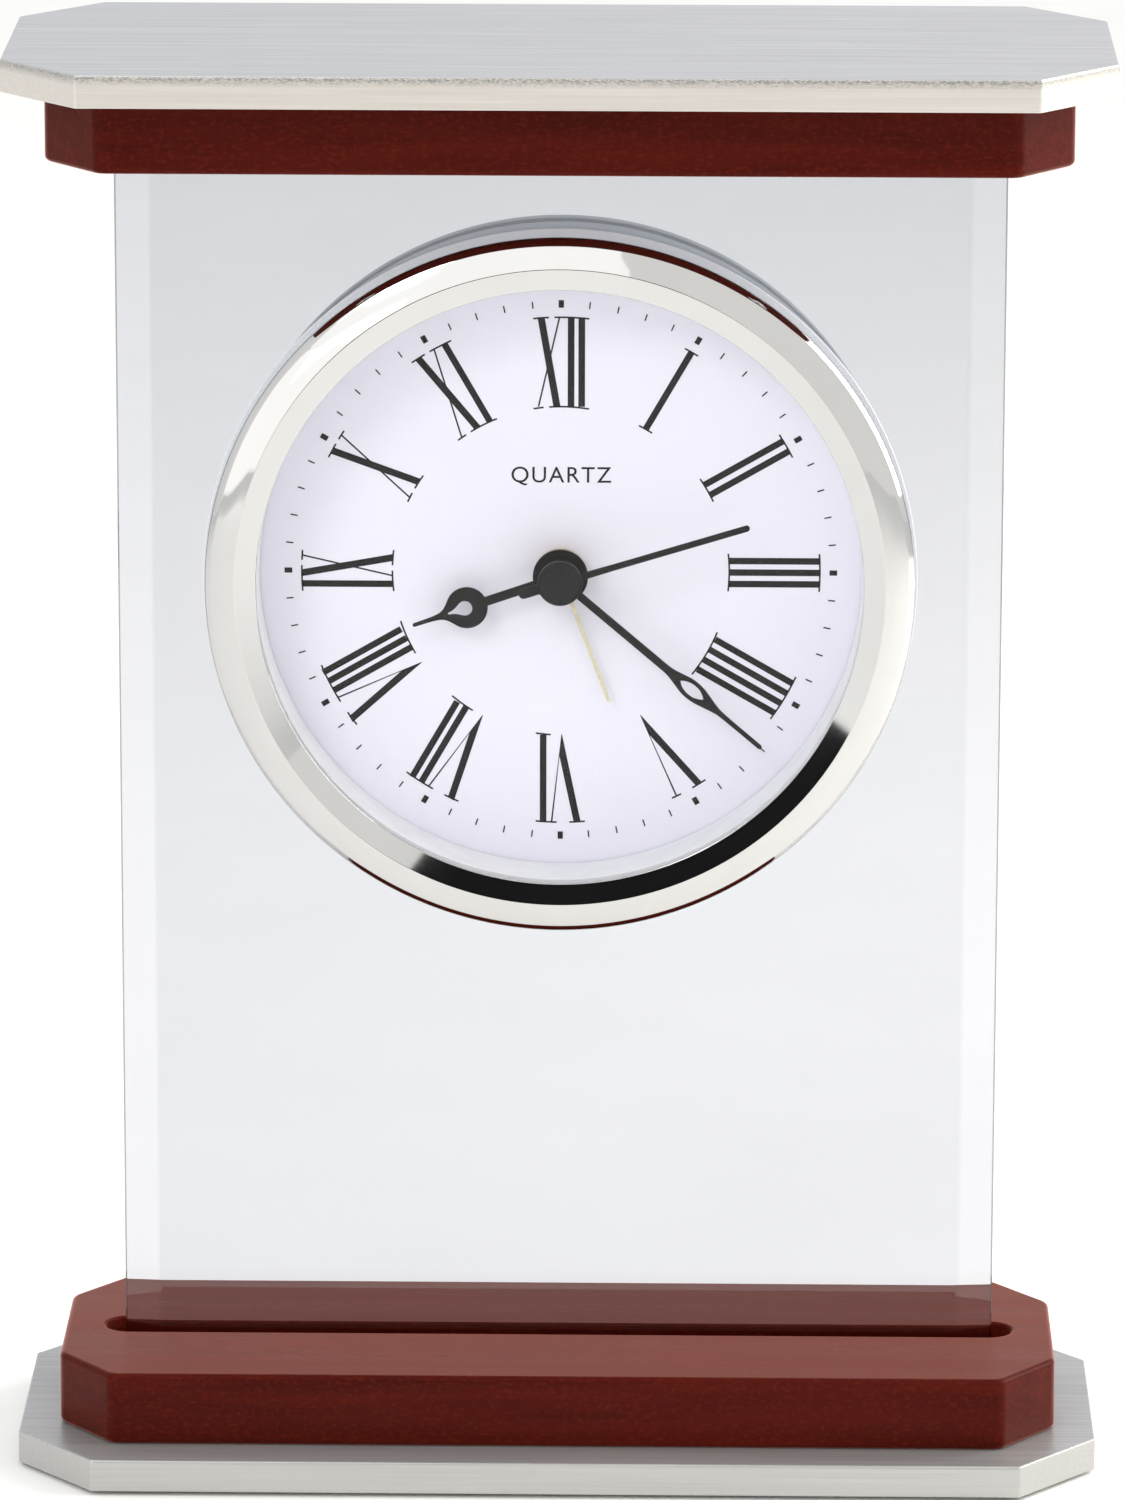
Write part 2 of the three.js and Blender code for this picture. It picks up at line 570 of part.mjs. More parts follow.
function sounder() {
  const disc = rod(SOUNDER.radius, SOUNDER.front, SOUNDER.back, CENTRE, 32);
  return disc.translate(0, 0, SOUNDER.z);
}

// ---- hands, drawn pointing at twelve and turned into place by their group ----
function hubHole(radius) {
  return new THREE.Path().absarc(0, 0, radius, 0, 2 * Math.PI, true);
}

// Half of an outline from the hub to the tip, mirrored into a closed one.
function mirrored(rightSide) {
  const left = rightSide.filter(([x]) => x > 0).map(([x, z]) => [-x, z]).reverse();
  return new THREE.Shape([...rightSide, ...left].map(([x, z]) => new THREE.Vector2(x, z)));
}

function arcPoints(radius, centreZ, from, to, count) {
  return Array.from({ length: count + 1 }, (_, i) => {
    const angle = THREE.MathUtils.degToRad(from + ((to - from) * i) / count);
    return [radius * Math.cos(angle), centreZ + radius * Math.sin(angle)];
  });
}

function hourHand() {
  const hub = 4.05;
  const outline = mirrored([
    ...arcPoints(hub, 0, -90, 78, 14),
    ...arcPoints(3.1, 14.5, -76, 62, 10),
    [0.7, 18.6], [0.3, HOUR_HAND.length], [0, HOUR_HAND.length + 0.2],
  ]);
  const eye = new THREE.Path(
    [...arcPoints(1.15, 13.9, 180, 360, 10), [0, 16.6]].map(([x, z]) => new THREE.Vector2(x, z)),
  );
  outline.holes.push(eye, hubHole(2.35));
  return slab(outline, HOUR_HAND.y, HOUR_HAND.y + HAND_THICK);
}

function minuteHand() {
  const loopLow = 22.4;
  const loopHigh = 28.6;
  const outline = mirrored([
    ...arcPoints(3, 0, -90, 80, 12),
    [0.5, loopLow - 2], [1.1, loopLow], [1.4, 24.6], [1.4, 26], [1.1, loopHigh], [0.4, 31],
    [0.33, MINUTE_HAND.length - 0.3], [0, MINUTE_HAND.length],
  ]);
  const eye = new THREE.Path([
    [0, 23.3], [0.6, 23.9], [0.82, 25], [0.82, 25.8], [0.6, 27], [0, 27.7],
    [-0.6, 27], [-0.82, 25.8], [-0.82, 25], [-0.6, 23.9],
  ].map(([x, z]) => new THREE.Vector2(x, z)));
  outline.holes.push(eye, hubHole(1.65));
  return slab(outline, MINUTE_HAND.y, MINUTE_HAND.y + HAND_THICK);
}

function secondHand() {
  const { y, length, tail, capRadius } = SECOND_HAND;
  const back = y + HAND_THICK;
  const blade = mirrored([
    [0, -tail], [0.7, -tail], [0.7, -2], [0.425, 2], [0.38, length - 0.2], [0, length],
  ]);
  const cap = turned([
    [0, y - 0.8], [capRadius - 0.7, y - 0.7], [capRadius, y], [capRadius, back], [0, back],
  ], 24);
  return cut(join(cap, slab(blade, y, back)), rod(0.95, y - 0.4, back + PAST, CENTRE, 12));
}

function alarmHand() {
  const outline = mirrored([
    ...arcPoints(3.9, 0, -90, 86, 14), [0.25, 5], [0.25, ALARM_HAND.length - 0.3], [0, ALARM_HAND.length],
  ]);
  outline.holes.push(hubHole(3.15));
  return slab(outline, ALARM_HAND.y, ALARM_HAND.y + ALARM_HAND.thick);
}

// ---- the assembly ----
const clock = new THREE.Group();
const insert = new THREE.Group();
insert.position.z = INSERT_Z;
clock.add(insert);

function add(parent, name, geometry, material) {
  const mesh = new THREE.Mesh(geometry, material);
  mesh.name = name;
  parent.add(mesh);
  return mesh;
}

function addHand(name, geometry, material, hand) {
  add(insert, name, geometry, material).rotation.y = THREE.MathUtils.degToRad(hand.angle);
}

function buildStand() {
  const baseWoodZ = FOOT_STAND + PLATE_THICK;
  const topPlateZ = FOOT_STAND + BODY_HEIGHT - PLATE_THICK;
  const topWoodZ = topPlateZ - WOOD.thick;
  const glassZ = baseWoodZ + WOOD.thick - SLOT.depth;
  const glassTop = topWoodZ + SLOT.depth - SLOT.headroom;
  const baseScrewZ = FOOT_STAND + STAND_SCREW.sunk;
  const topScrewZ = topWoodZ + STAND_SCREW.sunk;
  const baseHoles = standScrews(baseScrewZ, GAP);
  const topHoles = standScrews(topScrewZ, GAP);
  const padRecesses = corners.map(([sx, sy]) => footPad(sx, sy, FOOT.radius + GAP, FOOT.thick));
  add(clock, 'base_plate', cut(plate(FOOT_STAND), ...baseHoles, ...padRecesses), aluminium);
  add(clock, 'base_wood', cut(
    woodBlock(baseWoodZ), slotTool(glassZ, baseWoodZ + WOOD.thick + PAST), ...baseHoles,
  ), rosewood);
  add(clock, 'glass_panel', glassPanel(glassZ, glassTop), clearGlass);
  add(clock, 'top_wood', cut(
    woodBlock(topWoodZ), slotTool(topWoodZ - PAST, topWoodZ + SLOT.depth), ...topHoles,
  ), rosewood);
  add(clock, 'top_plate', cut(plate(topPlateZ), ...topHoles), aluminium);
  standScrews(baseScrewZ).forEach((screw, i) => add(clock, `base_screw_${i + 1}`, screw, steel));
  standScrews(topScrewZ).forEach((screw, i) => add(clock, `top_screw_${i + 1}`, screw, steel));
  corners.forEach(([sx, sy], i) => {
    add(clock, `foot_pad_${i + 1}`, footPad(sx, sy, FOOT.radius, FOOT.thick), rubber);
  });
}

function buildInsertCase() {
  add(insert, 'bezel', bezel(), chrome);
  add(insert, 'lens', rod(LENS.radius, LENS.front, LENS.back, CENTRE, ROUND), clearGlass);
  add(insert, 'rehaut_ring', ring(REHAUT.inner, REHAUT.outer, REHAUT.front, REHAUT.back), lightPlastic);
  add(insert, 'rear_gasket', ring(GASKET.inner, GASKET.outer, GLASS.back, CUP.front), foam);
  add(insert, 'rear_cup', rearCup(), satinGrey);
  add(insert, 'back_cover', backCover(), satinGrey);
  add(insert, 'battery_door', batteryDoor(), satinGrey);
  coverScrewSpots().forEach((at, i) => {
    const screw = panScrew(COVER.back - COVER_SCREW.headDeep, COVER.back - GAP, COVER_SCREW.tip);
    add(insert, `back_screw_${i + 1}`, screw, steel).position.set(at.x, 0, at.z);
  });
  add(insert, 'battery', batteryCell(), cellBlack).position.set(BATTERY.x, BATTERY.y, BAY.z);
  add(insert, 'contact_plus', contactSheet(CONTACT.plusX), steel);
  add(insert, 'contact_minus', contactMinus(), steel);
}

function buildMovement() {
  add(insert, 'main_plate', mainPlate(), whitePlastic);
  add(insert, 'bridge_plate', bridgePlate(), whitePlastic);
  PILLARS.forEach((at, i) => {
    const screw = panScrew(BRIDGE.back, BRIDGE.back + BRIDGE_SCREW.headDeep, BRIDGE_SCREW.tip);
    add(insert, `bridge_screw_${i + 1}`, screw, steel).position.set(at.x, 0, at.z);
  });
  add(insert, 'second_wheel', secondWheel(), whitePlastic);
  add(insert, 'third_wheel', thirdWheel(), whitePlastic);
  add(insert, 'centre_wheel', centreWheel(), brass);
  add(insert, 'motion_wheel', motionWheel(), whitePlastic);
  add(insert, 'hour_wheel', hourWheel(), brass);
  add(insert, 'alarm_wheel', alarmWheel(), brass);
  add(insert, 'alarm_idler', alarmIdler(), whitePlastic);
  add(insert, 'intermediate_wheel', intermediateWheel(), whitePlastic);
  add(insert, 'rotor', rotor(), darkPlastic);
  add(insert, 'stator', stator(), steel);
  add(insert, 'coil_core', coilCore(), steel);
  add(insert, 'coil', coil(), copper);
  add(insert, 'circuit_board', circuitBoard(), boardGreen);
  add(insert, 'sounder', sounder(), brass);
}

function buildControls() {
  add(insert, 'time_stem', setStem(timePinion, 2), whitePlastic);
  add(insert, 'alarm_stem', setStem(alarmPinion, 0), whitePlastic);
  add(insert, 'time_knob', knob(), darkPlastic).position.set(TIME_STEM.x, 0, TIME_STEM.z);
  add(insert, 'alarm_knob', knob(), darkPlastic).position.set(ALARM_STEM.x, 0, ALARM_STEM.z);
  add(insert, 'alarm_switch', alarmSwitch(), darkPlastic);
}

function buildFace() {
  add(insert, 'dial', ring(DIAL.hole, DIAL.radius, DIAL.front, DIAL.back), whiteCard);
  addHand('alarm_hand', alarmHand(), champagne, ALARM_HAND);
  addHand('hour_hand', hourHand(), blackPaint, HOUR_HAND);
  addHand('minute_hand', minuteHand(), blackPaint, MINUTE_HAND);
  addHand('second_hand', secondHand(), blackPaint, SECOND_HAND);
}

buildStand();
buildInsertCase();
buildMovement();
buildControls();
buildFace();

export default clock;
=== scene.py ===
import math

import bmesh
import bpy
from mathutils import Matrix, Vector


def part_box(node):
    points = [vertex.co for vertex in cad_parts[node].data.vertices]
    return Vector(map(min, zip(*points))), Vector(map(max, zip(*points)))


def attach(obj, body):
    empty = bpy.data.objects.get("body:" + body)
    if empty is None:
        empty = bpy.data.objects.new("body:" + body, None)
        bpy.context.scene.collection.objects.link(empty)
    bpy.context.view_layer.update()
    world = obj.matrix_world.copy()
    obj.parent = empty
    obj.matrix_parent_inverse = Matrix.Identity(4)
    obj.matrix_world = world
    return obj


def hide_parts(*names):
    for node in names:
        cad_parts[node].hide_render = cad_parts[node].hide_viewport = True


# A carriage clock. Lengths are in millimetres until a mesh is finished, and places are taken from the frame.
# X is the viewer's right, Z is up, and the dial faces -Y. A clock angle is counted clockwise from twelve.
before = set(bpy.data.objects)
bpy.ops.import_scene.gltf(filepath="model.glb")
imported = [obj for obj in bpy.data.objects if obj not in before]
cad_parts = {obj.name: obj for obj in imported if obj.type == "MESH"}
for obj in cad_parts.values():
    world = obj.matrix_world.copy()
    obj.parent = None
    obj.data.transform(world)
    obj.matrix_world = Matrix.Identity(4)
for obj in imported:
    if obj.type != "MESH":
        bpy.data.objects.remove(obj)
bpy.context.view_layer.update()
MM = 0.001
ROUND = 192


def span(node):
    """The lowest and highest corner of a CAD node, in millimetres."""
    low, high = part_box(node)
    return low / MM, high / MM


def middle(node):
    low, high = span(node)
    return (low + high) / 2


def foot_of(node):
    """The middle of a node's underside."""
    return Vector((middle(node).x, middle(node).y, span(node)[0].z))


def radius_of(node):
    """Half of a node's width."""
    low, high = span(node)
    return (high.x - low.x) / 2


DIAL_CENTRE = Vector((0, 0, middle("bezel").z))
# A face whose normal is this close to an axis is flat, and is shaded so.
LEVEL = 0.9999


# ---------------------------------------------------------------- outlines
def rounded(points, radius, steps=4):
    """A closed outline with soft corners. A point may give its own radius as a third number."""
    result = []
    for i, point in enumerate(points):
        here = Vector(point[:2])
        before = Vector(points[i - 1][:2]) - here
        after = Vector(points[(i + 1) % len(points)][:2]) - here
        size = point[2] if len(point) > 2 else radius
        reach = min(size, 0.48 * before.length, 0.48 * after.length)
        if reach <= 0:
            result.append(tuple(here))
            continue
        start = here + before.normalized() * reach
        end = here + after.normalized() * reach
        for k in range(steps + 1):
            t = k / steps
            result.append(tuple(start * (1 - t) ** 2 + here * 2 * t * (1 - t) + end * t * t))
    return result


def arc(radius, start, end, steps, centre=(0, 0)):
    """Points on a circle from one angle to another, in degrees, counted from +X towards the second axis."""
    angles = [math.radians(start + (end - start) * k / steps) for k in range(steps + 1)]
    return [(centre[0] + radius * math.cos(a), centre[1] + radius * math.sin(a)) for a in angles]


def smooth(points, steps=6):
    """An open line through the points, curved by Catmull and Rom's rule."""
    ends = [points[0], *points, points[-1]]
    line = []
    for a, b, c, d in zip(ends, ends[1:], ends[2:], ends[3:]):
        for k in range(steps):
            t = k / steps
            line.append(tuple(
                0.5 * (2 * b[i] + (c[i] - a[i]) * t + (2 * a[i] - 5 * b[i] + 4 * c[i] - d[i]) * t * t
                       + (3 * b[i] - a[i] - 3 * c[i] + d[i]) * t ** 3)
                for i in (0, 1)
            ))
    return [*line, points[-1]]


def mirrored(right_side):
    """Closes half an outline, given from its lowest to its highest point, with its mirror image."""
    left = [(-x, z) for x, z in reversed(right_side) if x > 0]
    return [*right_side, *left]


# ---------------------------------------------------------------- solids
def placed(name, data):
    """A new object in the scene."""
    obj = bpy.data.objects.new(name, data)
    bpy.context.scene.collection.objects.link(obj)
    return obj


def shifted(mesh, x, y, z):
    mesh.transform(Matrix.Translation((x, y, z)))
    return mesh


def spun(mesh, degrees, axis="Y"):
    mesh.transform(Matrix.Rotation(math.radians(degrees), 4, axis))
    return mesh


def finished(name, mesh, place=DIAL_CENTRE, turn=0.0, sharp=32):
    """An object from a mesh in millimetres, turned clockwise about Y and put in its place."""
    matrix = Matrix.Translation(place) @ Matrix.Rotation(math.radians(turn), 4, "Y")
    mesh.transform(Matrix.Scale(MM, 4) @ matrix)
    mesh.shade_smooth()
    mesh.set_sharp_from_angle(angle=math.radians(sharp))
    for face in mesh.polygons:
        face.use_smooth = max(abs(part) for part in face.normal) < LEVEL
    return placed(name, mesh)


def mesh_of(bm):
    """The finished mesh, with no doubled points and with its faces turned outward."""
    bmesh.ops.remove_doubles(bm, verts=bm.verts, dist=1e-4)
    bmesh.ops.dissolve_degenerate(bm, edges=bm.edges, dist=1e-5)
    bmesh.ops.recalc_face_normals(bm, faces=bm.faces)
    mesh = bpy.data.meshes.new("solid")
    bm.to_mesh(mesh)
    bm.free()
    return mesh


def bevelled(bm, edges, width, steps):
    """The finished mesh, with the given edges rounded first."""
    if width:
        bmesh.ops.bevel(bm, geom=edges, offset=width, segments=steps, profile=0.5, affect="EDGES")
    return mesh_of(bm)


def turned(outline, sides=ROUND):
    """A body turned about Y from a closed (radius, y) outline."""
    bm = bmesh.new()
    rings = []
    for k in range(sides):
        angle = 2 * math.pi * k / sides
        rings.append([bm.verts.new((r * math.cos(angle), y, r * math.sin(angle))) for r, y in outline])
    for k, ring in enumerate(rings):
        following = rings[(k + 1) % sides]
        for i in range(len(outline)):
            j = (i + 1) % len(outline)
            bm.faces.new((ring[i], ring[j], following[j], following[i]))
    return mesh_of(bm)


def lathe(outline, sides=ROUND, steps=4):
    """A turned body whose outline's points may each give a radius for a soft corner."""
    return turned(rounded(outline, 0, steps), sides)


def rod(radius, front, back, at=(0, 0), sides=48, edge=0.0):
    """A cylinder along Y with softened ends, its middle at (x, z)."""
    outline = [(0, front), (radius, front, edge), (radius, back, edge), (0, back)]
    return shifted(lathe(outline, sides), at[0], 0, at[1])


def upright_solid(curve, y, z=0.0):
    """The closed body of a curve that was drawn flat, stood up facing -Y with its middle at (y, z)."""
    holder = placed("outline", curve)
    bm = bmesh.new()
    bm.from_mesh(evaluated(holder))
    bpy.data.objects.remove(holder)
    bmesh.ops.rotate(bm, verts=bm.verts, matrix=Matrix.Rotation(math.radians(90), 3, "X"))
    bmesh.ops.translate(bm, verts=bm.verts, vec=(0, y, z))
    return mesh_of(bm)


def flat(outlines, front, back, edge=0.0):
    """(x, z) outlines filled and given thickness along Y, with softened edges. Inner outlines are holes."""
    curve = bpy.data.curves.new("outline", "CURVE")
    curve.dimensions = "2D"
    curve.fill_mode = "BOTH"
    curve.extrude = (back - front) / 2 - edge
    curve.bevel_depth = edge
    curve.bevel_resolution = 2
    curve.offset = -edge
    for outline in outlines:
        spline = curve.splines.new("POLY")
        spline.points.add(len(outline) - 1)
        spline.use_cyclic_u = True
        for point, (x, z) in zip(spline.points, outline):
            point.co = (x, z, 0, 1)
    return upright_solid(curve, (front + back) / 2)


def box(low, high, edge=0.0, steps=3):
    """A box between two corners, with rounded edges."""
    bm = bmesh.new()
    bmesh.ops.create_cube(bm, size=1)
    size = Vector(high) - Vector(low)
    bmesh.ops.scale(bm, verts=bm.verts, vec=size)
    bmesh.ops.translate(bm, verts=bm.verts, vec=(Vector(low) + Vector(high)) / 2)
    return bevelled(bm, bm.edges[:], edge, steps)


def prism(outline, low, high, edge=0.0, steps=4):
    """An (x, y) outline given height along Z, with rounded edges."""
    bm = bmesh.new()
    bottom = bm.faces.new([bm.verts.new((x, y, low)) for x, y in outline])
    top = bmesh.ops.extrude_face_region(bm, geom=[bottom])["geom"]
    corners = [v for v in top if isinstance(v, bmesh.types.BMVert)]
    bmesh.ops.translate(bm, verts=corners, vec=(0, 0, high - low))
    return bevelled(bm, bm.edges[:], edge, steps)


def stacked(layers):
    """A closed body through (outline, height) layers that all have the same number of points."""
    bm = bmesh.new()
    rings = [[bm.verts.new((x, y, z)) for x, y in outline] for outline, z in layers]
    for low, high in zip(rings, rings[1:]):
        for i in range(len(low)):
            j = (i + 1) % len(low)
            bm.faces.new((low[i], low[j], high[j], high[i]))
    bm.faces.new(rings[0][::-1])
    bm.faces.new(rings[-1])
    return mesh_of(bm)


def evaluated(obj):
    bpy.context.view_layer.update()
    return bpy.data.meshes.new_from_object(obj.evaluated_get(bpy.context.evaluated_depsgraph_get()))


def combined(operation, body, *others):
    """Cuts meshes out of a body, or joins them to it."""
    holder = placed("body", body)
    tools = []
    for other in others:
        tool = placed("tool", other)
        tools.append(tool)
        change = holder.modifiers.new("change", "BOOLEAN")
        change.operation = operation
        change.solver = "MANIFOLD"
        change.object = tool
    result = evaluated(holder)
    for obj in (holder, *tools):
        bpy.data.objects.remove(obj)
    return result


def cut(body, *tools):
    return combined("DIFFERENCE", body, *tools)


def join(body, *others):
    return combined("UNION", body, *others)


def softened(mesh, width, wanted, steps=3):
    """Rounds the sharp edges whose middle passes the test."""
    bm = bmesh.new()
    bm.from_mesh(mesh)
    bmesh.ops.remove_doubles(bm, verts=bm.verts, dist=1e-4)
    edges = [
        e for e in bm.edges
        if e.calc_face_angle(0) > math.radians(40) and wanted((e.verts[0].co + e.verts[1].co) / 2)
    ]
    return bevelled(bm, edges, width, steps)


# ---------------------------------------------------------------- materials
class Finish:
    """A Principled material with procedural detail in object coordinates (metres in the part's frame)."""

    def __init__(self, name, colour, roughness, metallic=0.0, **sockets):
        self.colour = colour
        self.material = bpy.data.materials.new(name)
        self.material.use_nodes = True
        self.tree = self.material.node_tree
        self.shader = self.tree.nodes["Principled BSDF"]
        self.output = self.tree.nodes["Material Output"]
        self.shader.inputs["Base Color"].default_value = (*colour, 1)
        self.shader.inputs["Roughness"].default_value = roughness
        self.shader.inputs["Metallic"].default_value = metallic
        for socket, value in sockets.items():
            self.shader.inputs[socket.replace("_", " ")].default_value = value

    def node(self, kind, **settings):
        node = self.tree.nodes.new(kind)
        for key, value in settings.items():
            setattr(node, key, value)
        return node

    def link(self, start, end):
        self.tree.links.new(start, end)

    def noise(self, size, stretch=(1, 1, 1), detail=3.0):
        """Noise with features of about `size` millimetres, longer along the axes with a stretch above 1."""
        place = self.node("ShaderNodeTexCoord")
        scale = self.node("ShaderNodeMapping")
        scale.inputs["Scale"].default_value = [1 / (size * MM * s) for s in stretch]
        noise = self.node("ShaderNodeTexNoise")
        noise.inputs["Scale"].default_value = 1
        noise.inputs["Detail"].default_value = detail
        self.link(place.outputs["Object"], scale.inputs["Vector"])
        self.link(scale.outputs["Vector"], noise.inputs["Vector"])
        return noise.outputs["Fac"]

    def ramp(self, factor, low, high, start=0.3, end=0.7):
        """Spreads a factor between two colours."""
        ramp = self.node("ShaderNodeValToRGB")
        first, last = ramp.color_ramp.elements
        first.position, first.color = start, (*low, 1)
        last.position, last.color = end, (*high, 1)
        self.link(factor, ramp.inputs["Fac"])
        return ramp.outputs["Color"]

    def spread(self, factor, low, high, start=0.3, end=0.7):
        """Spreads a factor between two values."""
        spread = self.node("ShaderNodeMapRange")
        for socket, value in zip(("From Min", "From Max", "To Min", "To Max"), (start, end, low, high)):
            spread.inputs[socket].default_value = value
        self.link(factor, spread.inputs["Value"])
        return spread.outputs["Result"]

    def axis(self, letter):
        """One of the object coordinates."""
        place = self.node("ShaderNodeTexCoord")
        axes = self.node("ShaderNodeSeparateXYZ")
        self.link(place.outputs["Object"], axes.inputs["Vector"])
        return axes.outputs[letter]

    def calculated(self, operation, first, second=None):
        """A sum on one or two inputs, each a link or a number."""
        sum_node = self.node("ShaderNodeMath", operation=operation)
        for socket, value in zip(sum_node.inputs, (first, second)):
            if isinstance(value, bpy.types.NodeSocket):
                self.link(value, socket)
            elif value is not None:
                socket.default_value = value
        return sum_node.outputs["Value"]

    def mixed(self, factor, first, second):
        """Goes from one colour to another, each a link or a colour."""
        mix = self.node("ShaderNodeMix", data_type="RGBA")
        self.link(factor, mix.inputs["Factor"])
        for name, value in (("A", first), ("B", second)):
            if isinstance(value, bpy.types.NodeSocket):
                self.link(value, mix.inputs[name])
            else:
                mix.inputs[name].default_value = value
        return mix.outputs["Result"]

    def tinted(self, colour):
        self.link(colour, self.shader.inputs["Base Color"])
        return self

    def coloured(self, low, high, size, stretch=(1, 1, 1), **limits):
        return self.tinted(self.ramp(self.noise(size, stretch), low, high, **limits))

    def varied(self, amount, size, stretch=(1, 1, 1)):
        """Gives it darker and lighter shades of its own colour."""
        return self.coloured(*shades(self.colour, amount), size, stretch)

    def roughened(self, low, high, size, stretch=(1, 1, 1)):
        self.link(self.spread(self.noise(size, stretch), low, high), self.shader.inputs["Roughness"])
        return self

    def bumped(self, size, depth, stretch=(1, 1, 1), strength=1.0):
        """Relief of the given depth, in millimetres."""
        bump = self.node("ShaderNodeBump")
        bump.inputs["Distance"].default_value = depth * MM
        bump.inputs["Strength"].default_value = strength
        self.link(self.noise(size, stretch), bump.inputs["Height"])
        self.link(bump.outputs["Normal"], self.shader.inputs["Normal"])
        return self


# The glass panel's tints: over its body; paler over a bevel, as painted light; and dark along its outer edge,
# as painted shade.
PANEL_TINTS = [(0.612, 0.624, 0.664), (0.675, 0.685, 0.722), (0.16, 0.17, 0.17)]
# The width and depth of its bevels, and the width of the painted shade along its outer edge.
GLASS_BEVEL = (5.5, 1.5)
EDGE_SHADE_WIDTH = 0.36
# A hair's gap where a piece would otherwise lie in the surface of the glass or the floor.
SEAM = 0.03
# The grey painted into a plate's sides just below the top edge, as a reflection.
EDGE_PAINTED_REFLECTION = (0.25, 0.255, 0.245, 1)


def shades(colour, amount):
    """A darker and a lighter shade of a colour."""
    return [tuple(c * (1 - amount) for c in colour), tuple(min(1.0, c * (1 + amount)) for c in colour)]


def brushed_aluminium(node, face, side, dull):
    """Fine lines along X on a plate. Its sides are painted lighter and warmer than its face, a painted
    reflection of the floor, with a darker, speckled strip below the top edge, also a painted reflection.
    """
    along_x = (110, 1, 1)
    top = span(node)[1].z
    finish = Finish("brushed_" + node, face, 0.4, 0.6)
    grain = finish.noise(0.3, along_x)
    height = finish.axis("Z")
    on_side = finish.spread(height, 1, 0, (top - 0.25) * MM, (top - 0.05) * MM)
    face_colour = finish.ramp(grain, *shades(face, 0.15))
    # Painted reflection: the sides take a lighter, warmer colour that stands for the floor mirrored in them.
    painted_side_colour = finish.ramp(grain, *shades(side, 0.06))
    colour = finish.mixed(on_side, face_colour, painted_side_colour)
    # Painted reflection: a darker speckled strip just below the top edge of each side.
    near_top = finish.spread(height, 0, dull, (top - 1.6) * MM, (top - 0.5) * MM)
    speckle = finish.spread(finish.noise(0.16, (2.5, 1, 1)), 0.25, 1, 0.4, 0.6)
    painted_reflection_strip = finish.calculated("MULTIPLY", finish.calculated("MULTIPLY", near_top, speckle), on_side)
    finish.tinted(finish.mixed(painted_reflection_strip, colour, EDGE_PAINTED_REFLECTION))
    finish.roughened(0.30, 0.46, 0.35, along_x)
    return finish.bumped(0.22, 0.002, along_x).material


def rosewood():
    """Dark red wood with streaks and short flecks along X, and a reddish bloom at a slant."""
    grain = (14, 1, 1)
    finish = Finish(
        "rosewood", (0.06, 0.0045, 0.0022), 0.32, IOR=1.14,
        Sheen_Weight=0.75, Sheen_Roughness=0.31, Sheen_Tint=(1.0, 0.36, 0.25, 1),
    )
    dark, light = (0.040, 0.0026, 0.0013), (0.074, 0.0056, 0.0024)
    streaks = finish.ramp(finish.noise(2.6, grain), dark, light, 0.2, 0.8)
    flecks = finish.spread(finish.noise(0.55, (1.6, 1, 1), 5), 0, 0.55, 0.5, 0.72)
    finish.tinted(finish.mixed(flecks, streaks, (0.115, 0.012, 0.004, 1)))
    finish.roughened(0.25, 0.36, 5, grain)
    return finish.bumped(0.5, 0.005, grain).material


def see_through(name, colour, ior=1.5):
    """Clear glass that lets the lamps' light and the room's soft light straight through."""
    finish = Finish(name, colour, 0.0, Transmission_Weight=1.0, IOR=ior)
    finish.bumped(60, 0.002)
    clear = finish.node("ShaderNodeBsdfTransparent")
    clear.inputs["Color"].default_value = (0.97, 0.97, 0.97, 1)
    path = finish.node("ShaderNodeLightPath")
    straight = finish.calculated("MAXIMUM", path.outputs["Is Shadow Ray"], path.outputs["Is Diffuse Ray"])
    mix = finish.node("ShaderNodeMixShader")
    finish.link(straight, mix.inputs["Fac"])
    finish.link(finish.shader.outputs["BSDF"], mix.inputs[1])
    finish.link(clear.outputs["BSDF"], mix.inputs[2])
    finish.link(mix.outputs["Shader"], finish.output.inputs["Surface"])
    return finish


def panel_glass():
    """The upright panel: paler over its bevels, as painted light, and dark along its outer edges, as painted
    shade.
    """
    finish = see_through("clear_glass", PANEL_TINTS[0])
    half = span("glass_panel")[1].x
    distance = finish.calculated("DIVIDE", finish.calculated("ABSOLUTE", finish.axis("X")), half * MM)
    # Painted light makes the bevel zones paler, and painted shade darkens a band along the outer edges.
    tint = finish.ramp(distance, PANEL_TINTS[0], PANEL_TINTS[2], 0, 1 - EDGE_SHADE_WIDTH / half)
    stops = tint.node.color_ramp
    stops.interpolation = "CONSTANT"
    stops.elements.new(1 - GLASS_BEVEL[0] / half).color = (*PANEL_TINTS[1], 1)
    stops.elements.new(1 - SEAM / half).color = (*PANEL_TINTS[0], 1)
    return finish.tinted(tint).material


def polished_chrome():
    finish = Finish("polished_chrome", (0.60, 0.596, 0.588), 0.04, 1.0)
    return finish.varied(0.015, 8).roughened(0.025, 0.055, 6).material


def satin_grey():
    finish = Finish("satin_grey", (0.41, 0.455, 0.50), 0.34, 0.6)
    return finish.varied(0.05, 1.2).bumped(0.25, 0.006).material


def plastic(name, colour, roughness=0.45, grain=0.35):
    """Moulded plastic with a fine spark-eroded grain."""
    finish = Finish(name, colour, roughness)
    finish.varied(0.04, 3).roughened(roughness - 0.05, roughness + 0.07, 1.5)
    return finish.bumped(grain, 0.004).material


def dial_card():
    finish = Finish("dial_card", (0.765, 0.757, 0.84), 0.6, Specular_IOR_Level=0.25)
    return finish.varied(0.012, 0.4).bumped(0.12, 0.0015).material


def paint(name, colour, roughness, metallic=0.0):
    finish = Finish(name, colour, roughness, metallic, Specular_IOR_Level=0.24)
    return finish.varied(0.12, 0.6).bumped(0.08, 0.001).material


